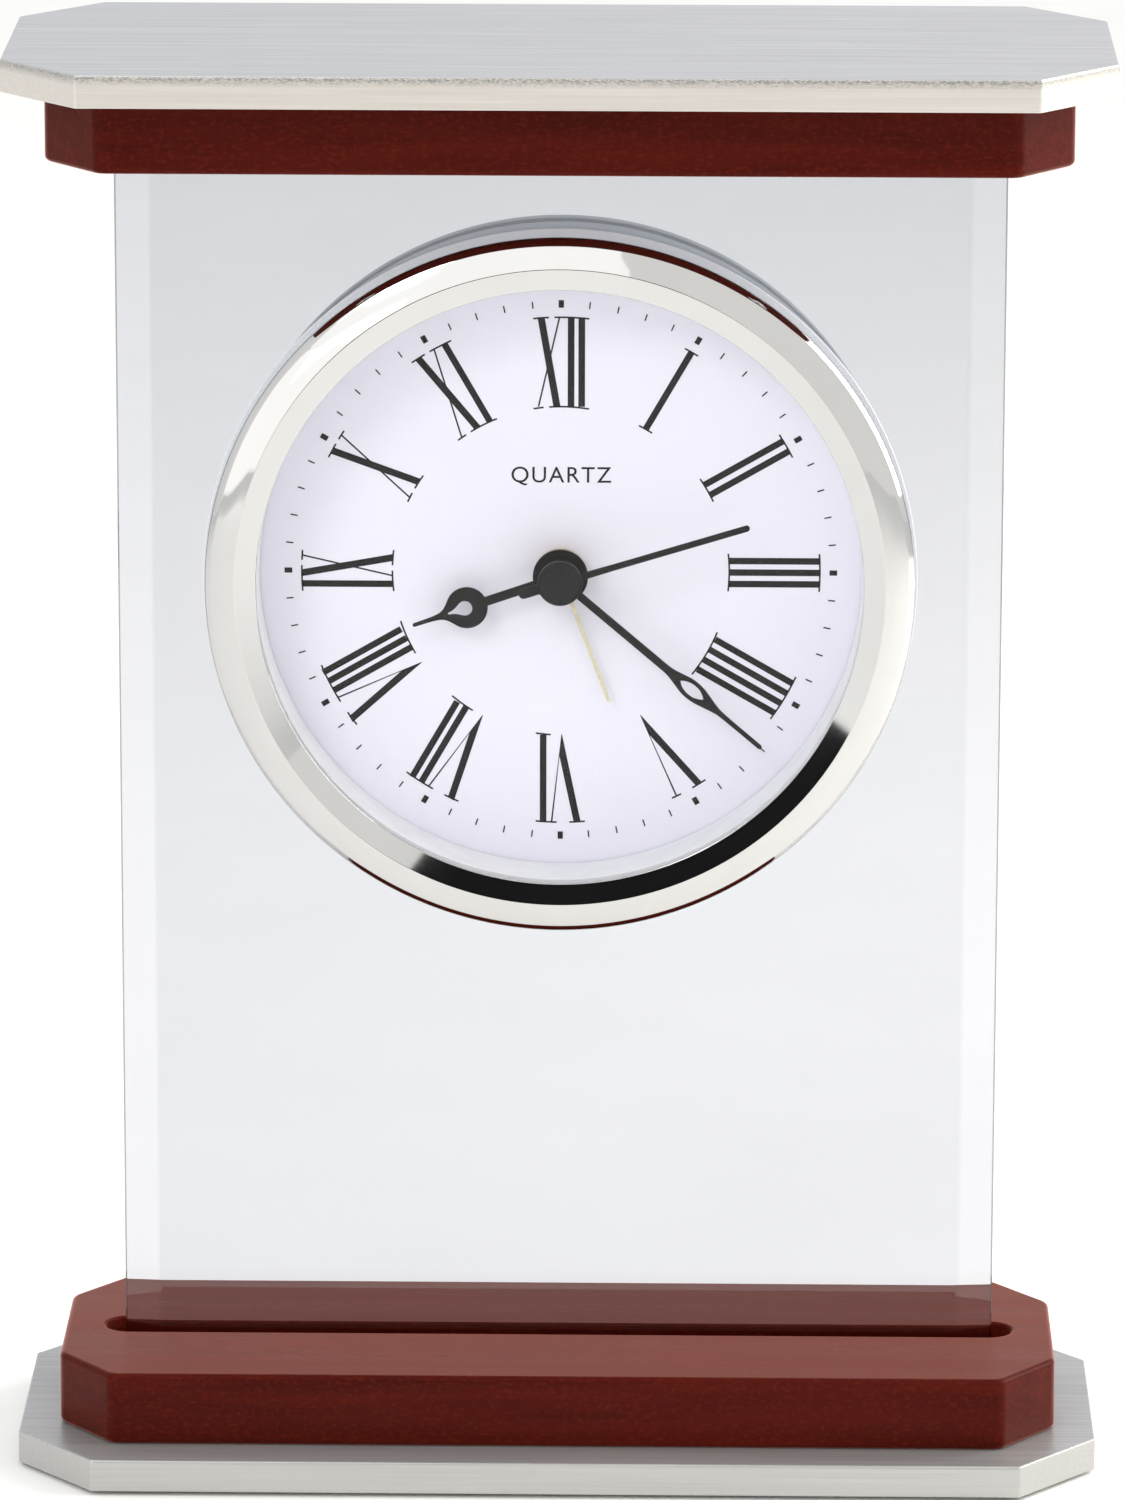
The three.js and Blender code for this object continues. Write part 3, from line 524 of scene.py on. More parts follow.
def metal(name, colour, roughness, stretch=(1, 1, 1)):
    finish = Finish(name, colour, roughness, 1.0)
    finish.varied(0.05, 0.5, stretch).roughened(roughness - 0.06, roughness + 0.1, 0.4, stretch)
    return finish.bumped(0.2, 0.0015, stretch).material


def circuit_green():
    finish = Finish("circuit_green", (0.02, 0.11, 0.035), 0.35, Coat_Weight=0.3)
    finish.coloured((0.015, 0.085, 0.025), (0.03, 0.15, 0.05), 1.1, start=0.45, end=0.55)
    return finish.bumped(0.8, 0.01).material


def winding_copper():
    """Fine enamelled wire, wound in rings that lie side by side along Z."""
    finish = Finish("winding_copper", (0.45, 0.16, 0.06), 0.3, 0.9)
    finish.coloured((0.30, 0.09, 0.03), (0.62, 0.25, 0.10), 0.16, (40, 40, 1))
    return finish.bumped(0.16, 0.03, (40, 40, 1)).material


def cell_wrap():
    """A dark printed sleeve, with a bare brassy zone next to the raised end."""
    finish = Finish("cell_wrap", (0.02, 0.022, 0.025), 0.28, 0.2, Coat_Weight=0.4)
    low, high = span("battery")
    zone = high.x - 0.24 * (high.x - low.x)
    share = finish.spread(finish.axis("X"), 0, 1, start=zone * MM, end=(zone + 0.1) * MM)
    finish.tinted(finish.ramp(share, (0.018, 0.02, 0.023), (0.55, 0.33, 0.16), start=0.4, end=0.6))
    return finish.bumped(0.6, 0.002).material


def foam_with_painted_glow():
    """White foam with a faint glow of its own: painted light, since the ring is no lamp, to brighten it where
    it lies in shade.
    """
    painted_glow = (0.95, 0.98, 1.0, 1)
    # Painted light: emission on the foam ring.
    finish = Finish("foam_with_painted_glow", (0.86, 0.87, 0.88), 0.85, Emission_Strength=0.4, Emission_Color=painted_glow)
    finish.coloured((0.88, 0.89, 0.90), (0.96, 0.965, 0.97), 0.3)
    return finish.bumped(0.25, 0.04).material


def foot_rubber():
    finish = Finish("foot_rubber", (0.016, 0.016, 0.017), 0.75)
    finish.coloured((0.012, 0.012, 0.013), (0.028, 0.028, 0.03), 0.3)
    return finish.bumped(0.2, 0.02).material


FINISHES = {
    # The top plate, with painted reflection on its sides: a lighter, warmer colour and a dark strip below the
    # top edge.
    "brushed_plate": brushed_aluminium("top_plate", (0.475, 0.475, 0.49), (0.62, 0.585, 0.545), 1.0),
    "rosewood": rosewood(),
    "clear_glass": panel_glass(),
    "polished_bezel": polished_chrome(),
    "light_ring": plastic("light_ring", (0.79, 0.80, 0.82), 0.4),
    # The foam ring's finish carries a painted glow.
    "white_foam": foam_with_painted_glow(),
    "satin_grey": satin_grey(),
    "dial_card": dial_card(),
    "black_paint": paint("black_paint", (0.008, 0.0085, 0.0085), 0.5),
    "champagne_paint": paint("champagne_paint", (0.62, 0.57, 0.42), 0.4, 0.3),
    "black_plastic": plastic("black_plastic", (0.022, 0.022, 0.024), 0.42),
    "white_plastic": plastic("white_plastic", (0.76, 0.75, 0.70), 0.42),
    "plated_steel": metal("plated_steel", (0.55, 0.56, 0.58), 0.26),
    "brass": metal("brass", (0.72, 0.46, 0.14), 0.24),
    "copper_wire": winding_copper(),
    "board_green": circuit_green(),
    "cell_wrap": cell_wrap(),
    "foot_rubber": foot_rubber(),
}
LENS_GLASS = see_through("lens_glass", (0.985, 0.985, 0.995), ior=1.16).material
# The base plate: the same brushed metal as the top plate, painted darker on its face and sides as shade, with
# no strip.
SHADED_BASE_METAL = brushed_aluminium("base_plate", (0.43, 0.43, 0.43), (0.46, 0.455, 0.44), 0.0)


def piece(name, mesh, body, slot, stands_for=(), material=None, **placing):
    """A finished piece that rides on a body and takes its finish from one of the record's slots."""
    obj = finished(name, mesh, **placing)
    obj.data.materials.clear()
    obj.data.materials.append(material or FINISHES[slot])
    obj.modifiers.new("even_normals", "WEIGHTED_NORMAL").keep_sharp = True
    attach(obj, body)
    if stands_for:
        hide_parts(*stands_for)
    return obj


# ---------------------------------------------------------------- the stand
ORIGIN = Vector((0, 0, 0))
GAP = 0.3
PAST = 1.0
PLATE_CUT = (11.5, 13.2)
PLATE_CORNER = 0.3
# (how far in, how deep below the top face) down the soft upper edge of a plate.
PLATE_TOP = [(0, 0.5), (0.04, 0.2), (0.12, 0.06), (0.26, 0)]
PLATE_FOOT = 0.2
WOOD_CUT = (8.1, 10.25)
WOOD_EDGE = 0.8
WOOD_CORNER = 1.1
SLOT_HALF_LENGTH = 67.6
SLOT_WIDTH = 7.2
SLOT_EDGE = 0.4
GLASS_EDGE = 0.15
HOLE_RADIUS = 46.3
SCREW_SHANK = 2.0
SCREW_HEAD_DEEP = 2.2
# The corners of the grooves in a foot, as shares of its radius.
FOOT_GROOVES = [(0.42, 0.47, 0.53, 0.58), (0.72, 0.77, 0.81, 0.85)]
FOUR = (1, 2, 3, 4)


def cut_corners(half_x, half_y, cut_x, cut_y):
    """A rectangle round the origin with its corners cut off."""
    right = [(half_x, -half_y + cut_y), (half_x, half_y - cut_y), (half_x - cut_x, half_y)]
    left = [(-half_x + cut_x, half_y), (-half_x, half_y - cut_y), (-half_x, -half_y + cut_y)]
    return [*right, *left, (-half_x + cut_x, -half_y), (half_x - cut_x, -half_y)]


def inset(half, cut, distance, corner):
    """A cut-cornered outline moved inward, with its corners softened."""
    length = math.hypot(*cut)
    across = (cut[1] / length, cut[0] / length)
    cut_x = cut[0] - distance * (1 - (1 - across[1]) / across[0])
    cut_y = cut[1] - distance * (1 - (1 - across[0]) / across[1])
    return rounded(cut_corners(half[0] - distance, half[1] - distance, cut_x, cut_y), corner)


def round_edge(radius, steps=6):
    """(how far in, how far from the flat face) down a rounded edge, from the side to the face."""
    angles = [math.radians(90 * k / steps) for k in range(steps + 1)]
    return [(radius * (1 - math.cos(a)), radius * (1 - math.sin(a))) for a in angles]


def block(name, cut, corner, foot, top):
    """A cut-cornered body in a node's place, with a profile for its lower and its upper edge."""
    low, high = span(name)
    half = (high.x, high.y)
    layers = [(inset(half, cut, i, corner), low.z + d) for i, d in reversed(foot)]
    layers += [(inset(half, cut, i, corner), high.z - d) for i, d in top]
    return stacked(layers)


def upright(mesh, at):
    """Stands a body that was turned about Y on Z instead."""
    mesh.transform(Matrix.Translation(at) @ Matrix.Rotation(math.radians(90), 4, "X"))
    return mesh


def screw_hole(node):
    """The countersunk hole that a stand screw sits in."""
    low, high = span(node)
    head = radius_of(node) + GAP
    shank = SCREW_SHANK + GAP
    length = high.z - low.z + GAP
    outline = [
        (0, -PAST), (head, -PAST), (head, 0), (shank, SCREW_HEAD_DEEP), (shank, length), (0, length),
    ]
    return upright(turned(outline, 64), foot_of(node))


def foot_recess(node):
    low, high = span(node)
    return upright(rod(radius_of(node) + GAP, -PAST, high.z - low.z, sides=96), foot_of(node))


def plate(name, finish, *holes):
    mesh = cut(block(name, PLATE_CUT, PLATE_CORNER, round_edge(PLATE_FOOT, 3), PLATE_TOP), *holes)
    return piece(name + "_shell", mesh, "root", "brushed_plate", [name], finish, place=ORIGIN)


def slot_tool(bottom, top):
    """A slot with half-round ends along X."""
    radius = SLOT_WIDTH / 2
    straight = SLOT_HALF_LENGTH - radius
    ends = arc(radius, -90, 90, 24, (straight, 0)) + arc(radius, 90, 270, 24, (-straight, 0))
    return prism(ends, bottom, top)


def wood_block(name, slot_span, mouth, *holes):
    """A block with soft edges. The mouth is the height of the face that its slot opens into."""
    edge = round_edge(WOOD_EDGE)
    body = cut(block(name, WOOD_CUT, WOOD_CORNER, edge, edge), slot_tool(*slot_span), *holes)
    near_slot = SLOT_WIDTH / 2 + 0.1
    mesh = softened(body, SLOT_EDGE, lambda p: abs(p.z - mouth) < 0.01 and abs(p.y) < near_slot)
    return piece(name + "_block", mesh, "root", "rosewood", [name], place=ORIGIN)


def glass_panel():
    low, high = span("glass_panel")
    wide, deep = GLASS_BEVEL
    plan = [
        (-high.x, low.y + deep), (-high.x + wide, low.y), (high.x - wide, low.y), (high.x, low.y + deep),
        (high.x, high.y), (-high.x, high.y),
    ]
    body = prism(plan, low.z + SEAM, high.z, GLASS_EDGE, 1)
    hole = shifted(rod(HOLE_RADIUS, low.y - PAST, high.y + PAST, sides=ROUND), *DIAL_CENTRE)
    return piece("glass", cut(body, hole), "root", "clear_glass", ["glass_panel"], place=ORIGIN, sharp=20)


def cross_recess(depth, reach, width):
    """The tapered cross of a Phillips head, cut down from y = 0."""
    bars = []
    for turn in (0, 90):
        bar = box((-reach, -0.01, -width / 2), (reach, depth, width / 2))
        for vertex in bar.vertices:
            if vertex.co.y > depth / 2:
                vertex.co.x *= 0.45
                vertex.co.z *= 0.6
        bars.append(spun(bar, turn))
    return bars


def threaded(outline, major, start, end, pitch=0.7, depth=0.35):
    """Adds the saw-tooth side of a thread to a (radius, y) outline, and closes it at the tip."""
    turns = int((end - start) / pitch)
    for k in range(turns):
        outline.append((major, start + k * pitch))
        outline.append((major - depth, start + (k + 0.5) * pitch))
    return [*outline, (major - depth, end - 0.3), (major - 2 * depth, end), (0, end)]


def stand_screw(name):
    """A countersunk wood screw, its head down."""
    low, high = span(name)
    head = radius_of(name)
    length = high.z - low.z
    outline = [(0, 0), (head - 0.15, 0), (head, 0.2), (SCREW_SHANK, SCREW_HEAD_DEEP)]
    outline = threaded(outline, SCREW_SHANK, SCREW_HEAD_DEEP + 1, length)
    body = cut(turned(outline, 64), *cross_recess(1.5, 2.2, 0.9))
    return piece(name + "_steel", upright(body, foot_of(name)), "root", "plated_steel", [name], place=ORIGIN)


def foot_pad(name):
    """A soft disc with two moulded grooves in the face that it stands on."""
    low, high = span(name)
    radius = radius_of(name)
    thick = high.z - low.z
    outline = [(0, 0)]
    for groove in FOOT_GROOVES:
        outline += [(radius * share, depth) for share, depth in zip(groove, (0, 0.25, 0.25, 0))]
    outline += [(radius, 0, 0.25), (radius, thick, 0.05), (0, thick)]
    mesh = upright(lathe(outline, 96), foot_of(name))
    return piece(name + "_rubber", mesh, "root", "foot_rubber", [name], place=ORIGIN)


def stand():
    base_screws = [f"base_screw_{i}" for i in FOUR]
    top_screws = [f"top_screw_{i}" for i in FOUR]
    feet = [f"foot_pad_{i}" for i in FOUR]
    base_face = span("base_wood")[1].z
    top_face = span("top_wood")[0].z
    glass_low, glass_high = span("glass_panel")
    slot_top = glass_high.z + 0.25
    plate("base_plate", SHADED_BASE_METAL, *[screw_hole(n) for n in base_screws], *[foot_recess(n) for n in feet])
    plate("top_plate", None, *[screw_hole(n) for n in top_screws])
    wood_block("base_wood", (glass_low.z, base_face + PAST), base_face, *[screw_hole(n) for n in base_screws])
    wood_block("top_wood", (top_face - PAST, slot_top), top_face, *[screw_hole(n) for n in top_screws])
    glass_panel()
    for name in base_screws + top_screws:
        stand_screw(name)
    for name in feet:
        foot_pad(name)


stand()


# ---------------------------------------------------------------- the insert's case
SLEEVE = {"inner": 45.3, "outer": 45.9, "seat": -4.2}
BEZEL = {"crest": 47.45, "shoulder": 51.0, "lip_front": -4.75}
CUP = {"outer": 50.2, "inner": 48.7, "flange_back": 5.4}
COVER = {"rim_front": 19.4, "inside": 23.2}
COVER_SCREW = {"boss": 2.6, "shank": 1.0, "head_deep": 1.4}
BAY = {"half_high": 8.2, "half_long": 29.3, "wall": 1.2, "front": 10.2, "ledge": 1.8, "lip": 0.4}
DOOR = {"half_wide": 28.2, "front": 24.9, "tongue": 1.0, "tongue_thick": 0.4, "floor": 24.6}
# The grip in the door: its hollow, from the door's top edge down, and the ribs in it.
GRIP = {"half": 8, "start": 5, "end": 15, "deep": 0.45}
RIB = {"half": 7, "half_thick": 0.35, "first": 6.4, "pitch": 1.45}
# A depth below the dial's centre that is past the cover's rim.
CLEAR = 60
STEM_HOLE = 1.8
SOUND_ORBIT = 4.0
SOUND_HOLE = 1.1
MOUTH = 0.15
SWITCH = {"travel": 3.5, "stem_half": 1.2, "stem_high": 1.0}


def about_dial(node):
    """The middle of a node as (x, z), counted from the dial's centre."""
    place = middle(node) - DIAL_CENTRE
    return place.x, place.z


def bezel():
    low, high = span("bezel")
    glass_front = span("glass_panel")[0].y - SEAM
    inner = span("rehaut_ring")[1].x - 0.7
    outline = [
        (inner, SLEEVE["seat"]), (inner, BEZEL["lip_front"], 0.12),
        (BEZEL["crest"], low.y, 0.14), ((BEZEL["crest"] + BEZEL["shoulder"]) / 2, low.y + 0.5, 1.4),
        (BEZEL["shoulder"], low.y + 1.25, 0.3), (high.x, low.y + 2.0, 0.35), (high.x, glass_front, 0.15),
        (SLEEVE["outer"], glass_front), (SLEEVE["outer"], high.y, 0.1), (SLEEVE["inner"], high.y, 0.1),
        (SLEEVE["inner"], SLEEVE["seat"]),
    ]
    return piece("bezel_ring", lathe(outline, 256, 5), "root", "polished_bezel", ["bezel"])


def lens():
    low, high = span("lens")
    outline = [(0, low.y), (high.x, low.y, 0.12), (high.x, high.y, 0.12), (0, high.y)]
    mesh = lathe(outline, steps=2)
    return piece("dial_glass", mesh, "root", "clear_glass", ["lens"], LENS_GLASS, sharp=20)


def ring_piece(name, node, inner, slot, edge, body="root", grooves=0):
    """A ring with soft edges in a node's place; grooves run round its outside."""
    low, high = span(node)
    low.y += SEAM
    outline = [(inner, low.y, edge), (high.x, low.y, edge)]
    for k in range(grooves):
        start = low.y + (k + 0.5) * (high.y - low.y) / grooves
        outline += [(high.x, start - 0.12), (high.x - 0.15, start), (high.x, start + 0.12)]
    outline += [(high.x, high.y, edge), (inner, high.y, edge)]
    return piece(name, lathe(outline), body, slot, [node])


def cover_screw_spots():
    return [about_dial(f"back_screw_{i}") for i in (1, 2, 3)]


def rear_cup():
    """The satin cup behind the glass: a flange, a plain side, and three screw posts inside."""
    low, high = span("rear_cup")
    sleeve = SLEEVE["outer"] + GAP
    outline = [
        (sleeve, low.y), (high.x, low.y, 0.3), (high.x, CUP["flange_back"], 0.3),
        (CUP["outer"], CUP["flange_back"], 0.4),
    ]
    outline += [(CUP["outer"], high.y, 0.25), (CUP["inner"], high.y), (CUP["inner"], CUP["flange_back"])]
    outline += [(sleeve, CUP["flange_back"])]
    body = lathe(outline)
    posts, holes = [], []
    front = span("main_plate")[1].y + GAP
    for x, z in cover_screw_spots():
        posts.append(rod(COVER_SCREW["boss"], front, COVER["inside"] - GAP, (x, z), 32, 0.2))
        web = box((-0.8, front, math.hypot(x, z) + 0.8), (0.8, high.y, (CUP["outer"] + CUP["inner"]) / 2))
        web.transform(Matrix.Rotation(math.atan2(x, z), 4, "Y"))
        posts.append(web)
        holes.append(rod(COVER_SCREW["shank"] + GAP, front - PAST, high.y + 2 * PAST, (x, z), 24))
    return piece("cup_shell", cut(join(body, *posts), *holes), "root", "satin_grey", ["rear_cup"])


def drill(radius, front, back, spot, sides):
    """A round cutter that also takes the sharp edge off the hole's mouth at the back."""
    end = back + PAST
    outline = [(0, front), (radius, front), (radius, back - MOUTH), (radius + MOUTH + PAST, end), (0, end)]
    return shifted(turned(outline, sides), spot[0], 0, spot[1])


def back_cover():
    """The cup's back, with the battery bay, the door's track, and openings for screws, stems and sound."""
    inside, back = COVER["inside"], span("back_cover")[1].y
    outline = [
        (0, inside), (CUP["inner"], inside), (CUP["inner"], COVER["rim_front"]),
        (CUP["outer"], COVER["rim_front"], 0.25), (CUP["outer"], back, 1.2), (0, back),
    ]
    disc = lathe(outline, steps=6)
    bay_z = about_dial("battery")[1]
    high_half, long_half, wall = BAY["half_high"], BAY["half_long"], BAY["wall"]
    bay = box(
        (-long_half - wall, BAY["front"], bay_z - high_half - wall),
        (long_half + wall, inside + GAP, bay_z + high_half + wall), 0.3,
    )
    room = box((-long_half, BAY["front"] + wall, bay_z - high_half), (long_half, inside, bay_z + high_half))
    mouth_half = long_half - BAY["ledge"]
    mouth = box(
        (-mouth_half, inside - PAST, bay_z - high_half + BAY["lip"]), (mouth_half, back, bay_z + high_half),
    )
    top = span("battery_door")[1].z - DIAL_CENTRE.z + GAP
    track_half = DOOR["half_wide"] + GAP
    groove_half = track_half + DOOR["tongue"]
    groove_back = DOOR["front"] + DOOR["tongue_thick"] + GAP
    track = box((-track_half, DOOR["floor"], -CLEAR), (track_half, back + PAST, top))
    groove = box((-groove_half, DOOR["floor"], -CLEAR), (groove_half, groove_back, top))
    tools = [room, mouth, track, groove]
    head_radius = radius_of("back_screw_1") + GAP
    for spot in cover_screw_spots():
        tools.append(rod(COVER_SCREW["shank"] + GAP, inside - PAST, back + PAST, spot, 24))
        tools.append(drill(head_radius, back - COVER_SCREW["head_deep"], back, spot, 48))
    for stem in ("time_stem", "alarm_stem"):
        tools.append(drill(STEM_HOLE, inside - PAST, back, about_dial(stem), 48))
    sound_z = about_dial("sounder")[1]
    sound_spots = [(0, sound_z)] + arc(SOUND_ORBIT, 0, 300, 5, (0, sound_z))
    for spot in sound_spots:
        tools.append(drill(SOUND_HOLE, inside - PAST, back, spot, 32))
    switch_z = about_dial("alarm_switch")[1]
    slot_half = SWITCH["stem_half"] + GAP
    slot_high = SWITCH["stem_high"] + GAP
    tools.append(box(
        (-slot_half, inside - PAST, switch_z - slot_high),
        (slot_half + SWITCH["travel"], back + PAST, switch_z + slot_high),
    ))
    return piece("cover_shell", cut(join(disc, bay), *tools), "root", "satin_grey", ["back_cover"])


def battery_door():
    """A sliding panel with a round foot, a tongue down each side and a ribbed grip."""
    low, high = span("battery_door")
    top, bottom = high.z - DIAL_CENTRE.z, low.z - DIAL_CENTRE.z
    half, back = DOOR["half_wide"], high.y
    tongue_back = DOOR["front"] + DOOR["tongue_thick"]
    panel = box((-half, DOOR["front"], bottom - 5), (half, back, top))
    wide = half + DOOR["tongue"]
    tongues = box((-wide, DOOR["front"], bottom - 5), (wide, tongue_back, top))
    front = DOOR["front"] - PAST
    round_foot = lathe([(0, front), (CUP["outer"], front), (CUP["outer"], back, 1.2), (0, back)], steps=6)
    body = combined("INTERSECT", join(panel, tongues), round_foot)
    body = softened(
        body, 0.15, lambda p: abs(p.y - back) < 0.01 and (abs(p.x) > half - 0.01 or p.z > top - 0.01), 2,
    )
    hollow_low = (-GRIP["half"], back - GRIP["deep"], top - GRIP["end"])
    body = cut(body, box(hollow_low, (GRIP["half"], back + PAST, top - GRIP["start"]), 0.4))
    ribs = []
    for k in range(6):
        z = top - RIB["first"] - RIB["pitch"] * k
        rib_low = (-RIB["half"], back - 0.6, z - RIB["half_thick"])
        ribs.append(box(rib_low, (RIB["half"], back - 0.02, z + RIB["half_thick"]), 0.15))
    return piece("door_panel", join(body, *ribs), "battery_door_group", "satin_grey", ["battery_door"])


def cover_screw(name):
    """A pan-head screw with a domed head and a cross recess."""
    low, high = span(name)
    head, shank = radius_of(name), COVER_SCREW["shank"]
    thick = COVER_SCREW["head_deep"] - GAP
    outline = rounded([(0, 0), (head, 0, 0.7), (head, thick, 0.1), (shank, thick)], 0)
    outline = threaded(outline, shank, thick + 1, high.y - low.y, 0.5, 0.2)
    body = cut(turned(outline, 48), *cross_recess(0.7, 1.25, 0.5))
    spun(body, 180, "X")
    x, z = about_dial(name)
    return piece(name + "_steel", shifted(body, x, high.y, z), "root", "plated_steel", [name])


def knob(name, body_name):
    """A ribbed thumb wheel with a dished end and a raised rim."""
    low, high = span(name)
    radius = radius_of(name)
    ribs = 44
    steps = 8 * ribs
    outline = []
    for k in range(steps):
        angle = 2 * math.pi * k / steps
        size = radius - 0.28 * (0.5 + 0.5 * math.cos(ribs * angle)) ** 2
        outline.append((size * math.cos(angle), size * math.sin(angle)))
    body = flat([outline], low.y, high.y, 0.3)
    stem = span(body_name.replace("_knob_group", "_stem"))
    bore = (stem[1].y - low.y) + GAP
    floor, past = high.y - 0.35, high.y + PAST
    dish = [(0, floor), (radius - 1.9, floor, 0.3), (radius - 1.2, past), (0, past)]
    body = cut(body, rod(1.4, low.y - PAST, low.y + bore, sides=32), lathe(dish, 96))
    inner, outer, top = 1.6, radius - 1, low.y + 0.4
    skirt = lathe([(inner, low.y), (outer, low.y), (outer, top), (inner, top)], 64)
    x, z = about_dial(name)
    return piece(name + "_wheel", shifted(join(body, skirt), x, 0, z), body_name, "black_plastic", [name])


def alarm_switch():
    """A thumb piece with cross ridges, a stem through the cover's slot, and a wider foot inside."""
    low, high = span("alarm_switch")
    back = span("back_cover")[1].y
    z = about_dial("alarm_switch")[1]
    thumb_front = back + GAP
    foot_back = COVER["inside"] - GAP
    thumb = box((-3, thumb_front, z - 2), (3, high.y - 0.5, z + 2), 0.35)
    ridges = []
    for x in (-1.8, -0.6, 0.6, 1.8):
        ridges.append(box((x - 0.35, high.y - 0.9, z - 1.6), (x + 0.35, high.y, z + 1.6), 0.2))
    stem_half, stem_high = SWITCH["stem_half"], SWITCH["stem_high"]
    stem = box((-stem_half, foot_back - GAP, z - stem_high), (stem_half, thumb_front + GAP, z + stem_high))
    foot = box((-4, low.y, z - 3), (4, foot_back, z + 3), 0.2)
    body = join(thumb, *ridges, stem, foot)
    return piece("switch_slider", body, "alarm_switch_group", "black_plastic", ["alarm_switch"])


def battery():
    """A cell with rolled ends and a raised cap."""
    low, high = span("battery")
    radius = (high.z - low.z) / 2
    cap = 1.1
    outline = [
        (0, low.x + 0.3), (radius - 1.6, low.x + 0.3), (radius - 1.2, low.x), (radius, low.x, 0.5),
        (radius, high.x - cap, 0.6), (radius - 1.3, high.x - cap, 0.1), (radius - 1.6, high.x - cap - 0.3),
        (2.8, high.x - cap - 0.3), (2.6, high.x, 0.35), (0, high.x),
    ]
    mesh = lathe(outline, 96)
    mesh = shifted(spun(mesh, -90, "Z"), 0, middle("battery").y, about_dial("battery")[1])
    return piece("battery_cell", mesh, "root", "cell_wrap", ["battery"])


def insert_case():
    bezel()
    lens()
    rehaut_inner = span("rehaut_ring")[1].x - 0.8
    ring_piece("inner_ring", "rehaut_ring", rehaut_inner, "light_ring", 0.12)
    ring_piece("foam_gasket", "rear_gasket", SLEEVE["outer"] + 0.5, "white_foam", 0.15)
    rear_cup()
    back_cover()
    battery_door()
    battery()
    for i in (1, 2, 3):
        cover_screw(f"back_screw_{i}")
    knob("time_knob", "time_knob_group")
    knob("alarm_knob", "alarm_knob_group")
    alarm_switch()


insert_case()


# ---------------------------------------------------------------- the dial
INK = 0.03
INK_STEP = 0.001
# The circles that a numeral stands between, its strokes' widths, and its serifs' thickness and overhang.
NUMERAL = {
    "inner": 24.6, "outer": 38.15, "bar": 0.97, "thick": 1.05, "thin": 0.24, "serif": 0.25, "reach": 0.63,
}
# Strokes of two letters that are closer than this share one serif.
SHARED_SERIF = 2.3
# The minute track's radius, and the width and height of its two kinds of mark.
TRACK_RADIUS = 40.0
BLOCK_MARK = (0.77, 1.13)
THIN_MARK = (0.2, 1.05)
# Strokes of each letter: (offset at the outer end, offset at the inner end, width, has an inner serif).
LETTERS = {
    "I": [(0, 0, NUMERAL["bar"], True)],
    "V": [(-1.9, 0.4, NUMERAL["thick"], False), (1.9, 0.4, NUMERAL["thin"], False)],
    "X": [(-1.2, 1.15, NUMERAL["thick"], True), (1.5, -1.55, NUMERAL["thin"], True)],
}
ADVANCE = {"II": 1.55, "VI": 3.15, "XI": 3.2, "IX": 2.8}
PLAIN_ADVANCE = 1.73
HOURS = ["XII", "I", "II", "III", "IIII", "V", "VI", "VII", "VIII", "IX", "X", "XI"]


def ink(outline, order=0):
    """A printed patch on the dial's face. Patches that are to be joined lie at slightly different depths."""
    face = span("dial")[0].y + order * INK_STEP
    return flat([outline], face - INK, face + INK / 2)


def stroke_patch(outer_x, inner_x, width):
    """A straight stroke whose ends lie inside the serifs."""
    low, high = NUMERAL["inner"] + NUMERAL["serif"] / 2, NUMERAL["outer"] - NUMERAL["serif"] / 2
    half = width / 2
    return [(inner_x - half, low), (inner_x + half, low), (outer_x + half, high), (outer_x - half, high)]


def v_patch(place):
    """Both strokes of a V as one shape: they run together into a point at the inner circle."""
    low, high = NUMERAL["inner"], NUMERAL["outer"] - NUMERAL["serif"] / 2
    (thick_x, point_x, thick, _), (thin_x, _, thin, _) = LETTERS["V"]
    left, right = thick_x - thick / 2, thick_x + thick / 2
    inside, outside = thin_x - thin / 2, thin_x + thin / 2
    share = (inside - right) / (inside - right + thick)
    crotch = (right + share * (point_x - left), high - share * (high - low))
    outline = [(left, high), (right, high), crotch, (inside, high), (outside, high), (point_x + 0.06, low)]
    return [(place + x, z) for x, z in [*outline, (point_x - 0.02, low)]][::-1]


def serif_patch(left, right, low, high):
    """A hairline that follows a circle about the dial's centre."""
    angles = [math.degrees(math.asin(x / high)) for x in (left, right)]
    outer = arc(high, 90 - angles[0], 90 - angles[1], 8)
    return [*outer, *reversed(arc(low, 90 - angles[0], 90 - angles[1], 8))]


def letter_places(text):
    """The middle of each letter, with the whole numeral centred."""
    places = [0.0]
    only_bars = set(text) == {"I"}
    for pair in zip(text, text[1:]):
        places.append(places[-1] + (PLAIN_ADVANCE if only_bars else ADVANCE["".join(pair)]))
    edges = []
    for letter, place in zip(text, places):
        for outer_x, inner_x, width, _ in LETTERS[letter]:
            edges += [place + x + side * width / 2 for x in (outer_x, inner_x) for side in (-1, 1)]
    centre = (min(edges) + max(edges)) / 2
    return [place - centre for place in places]


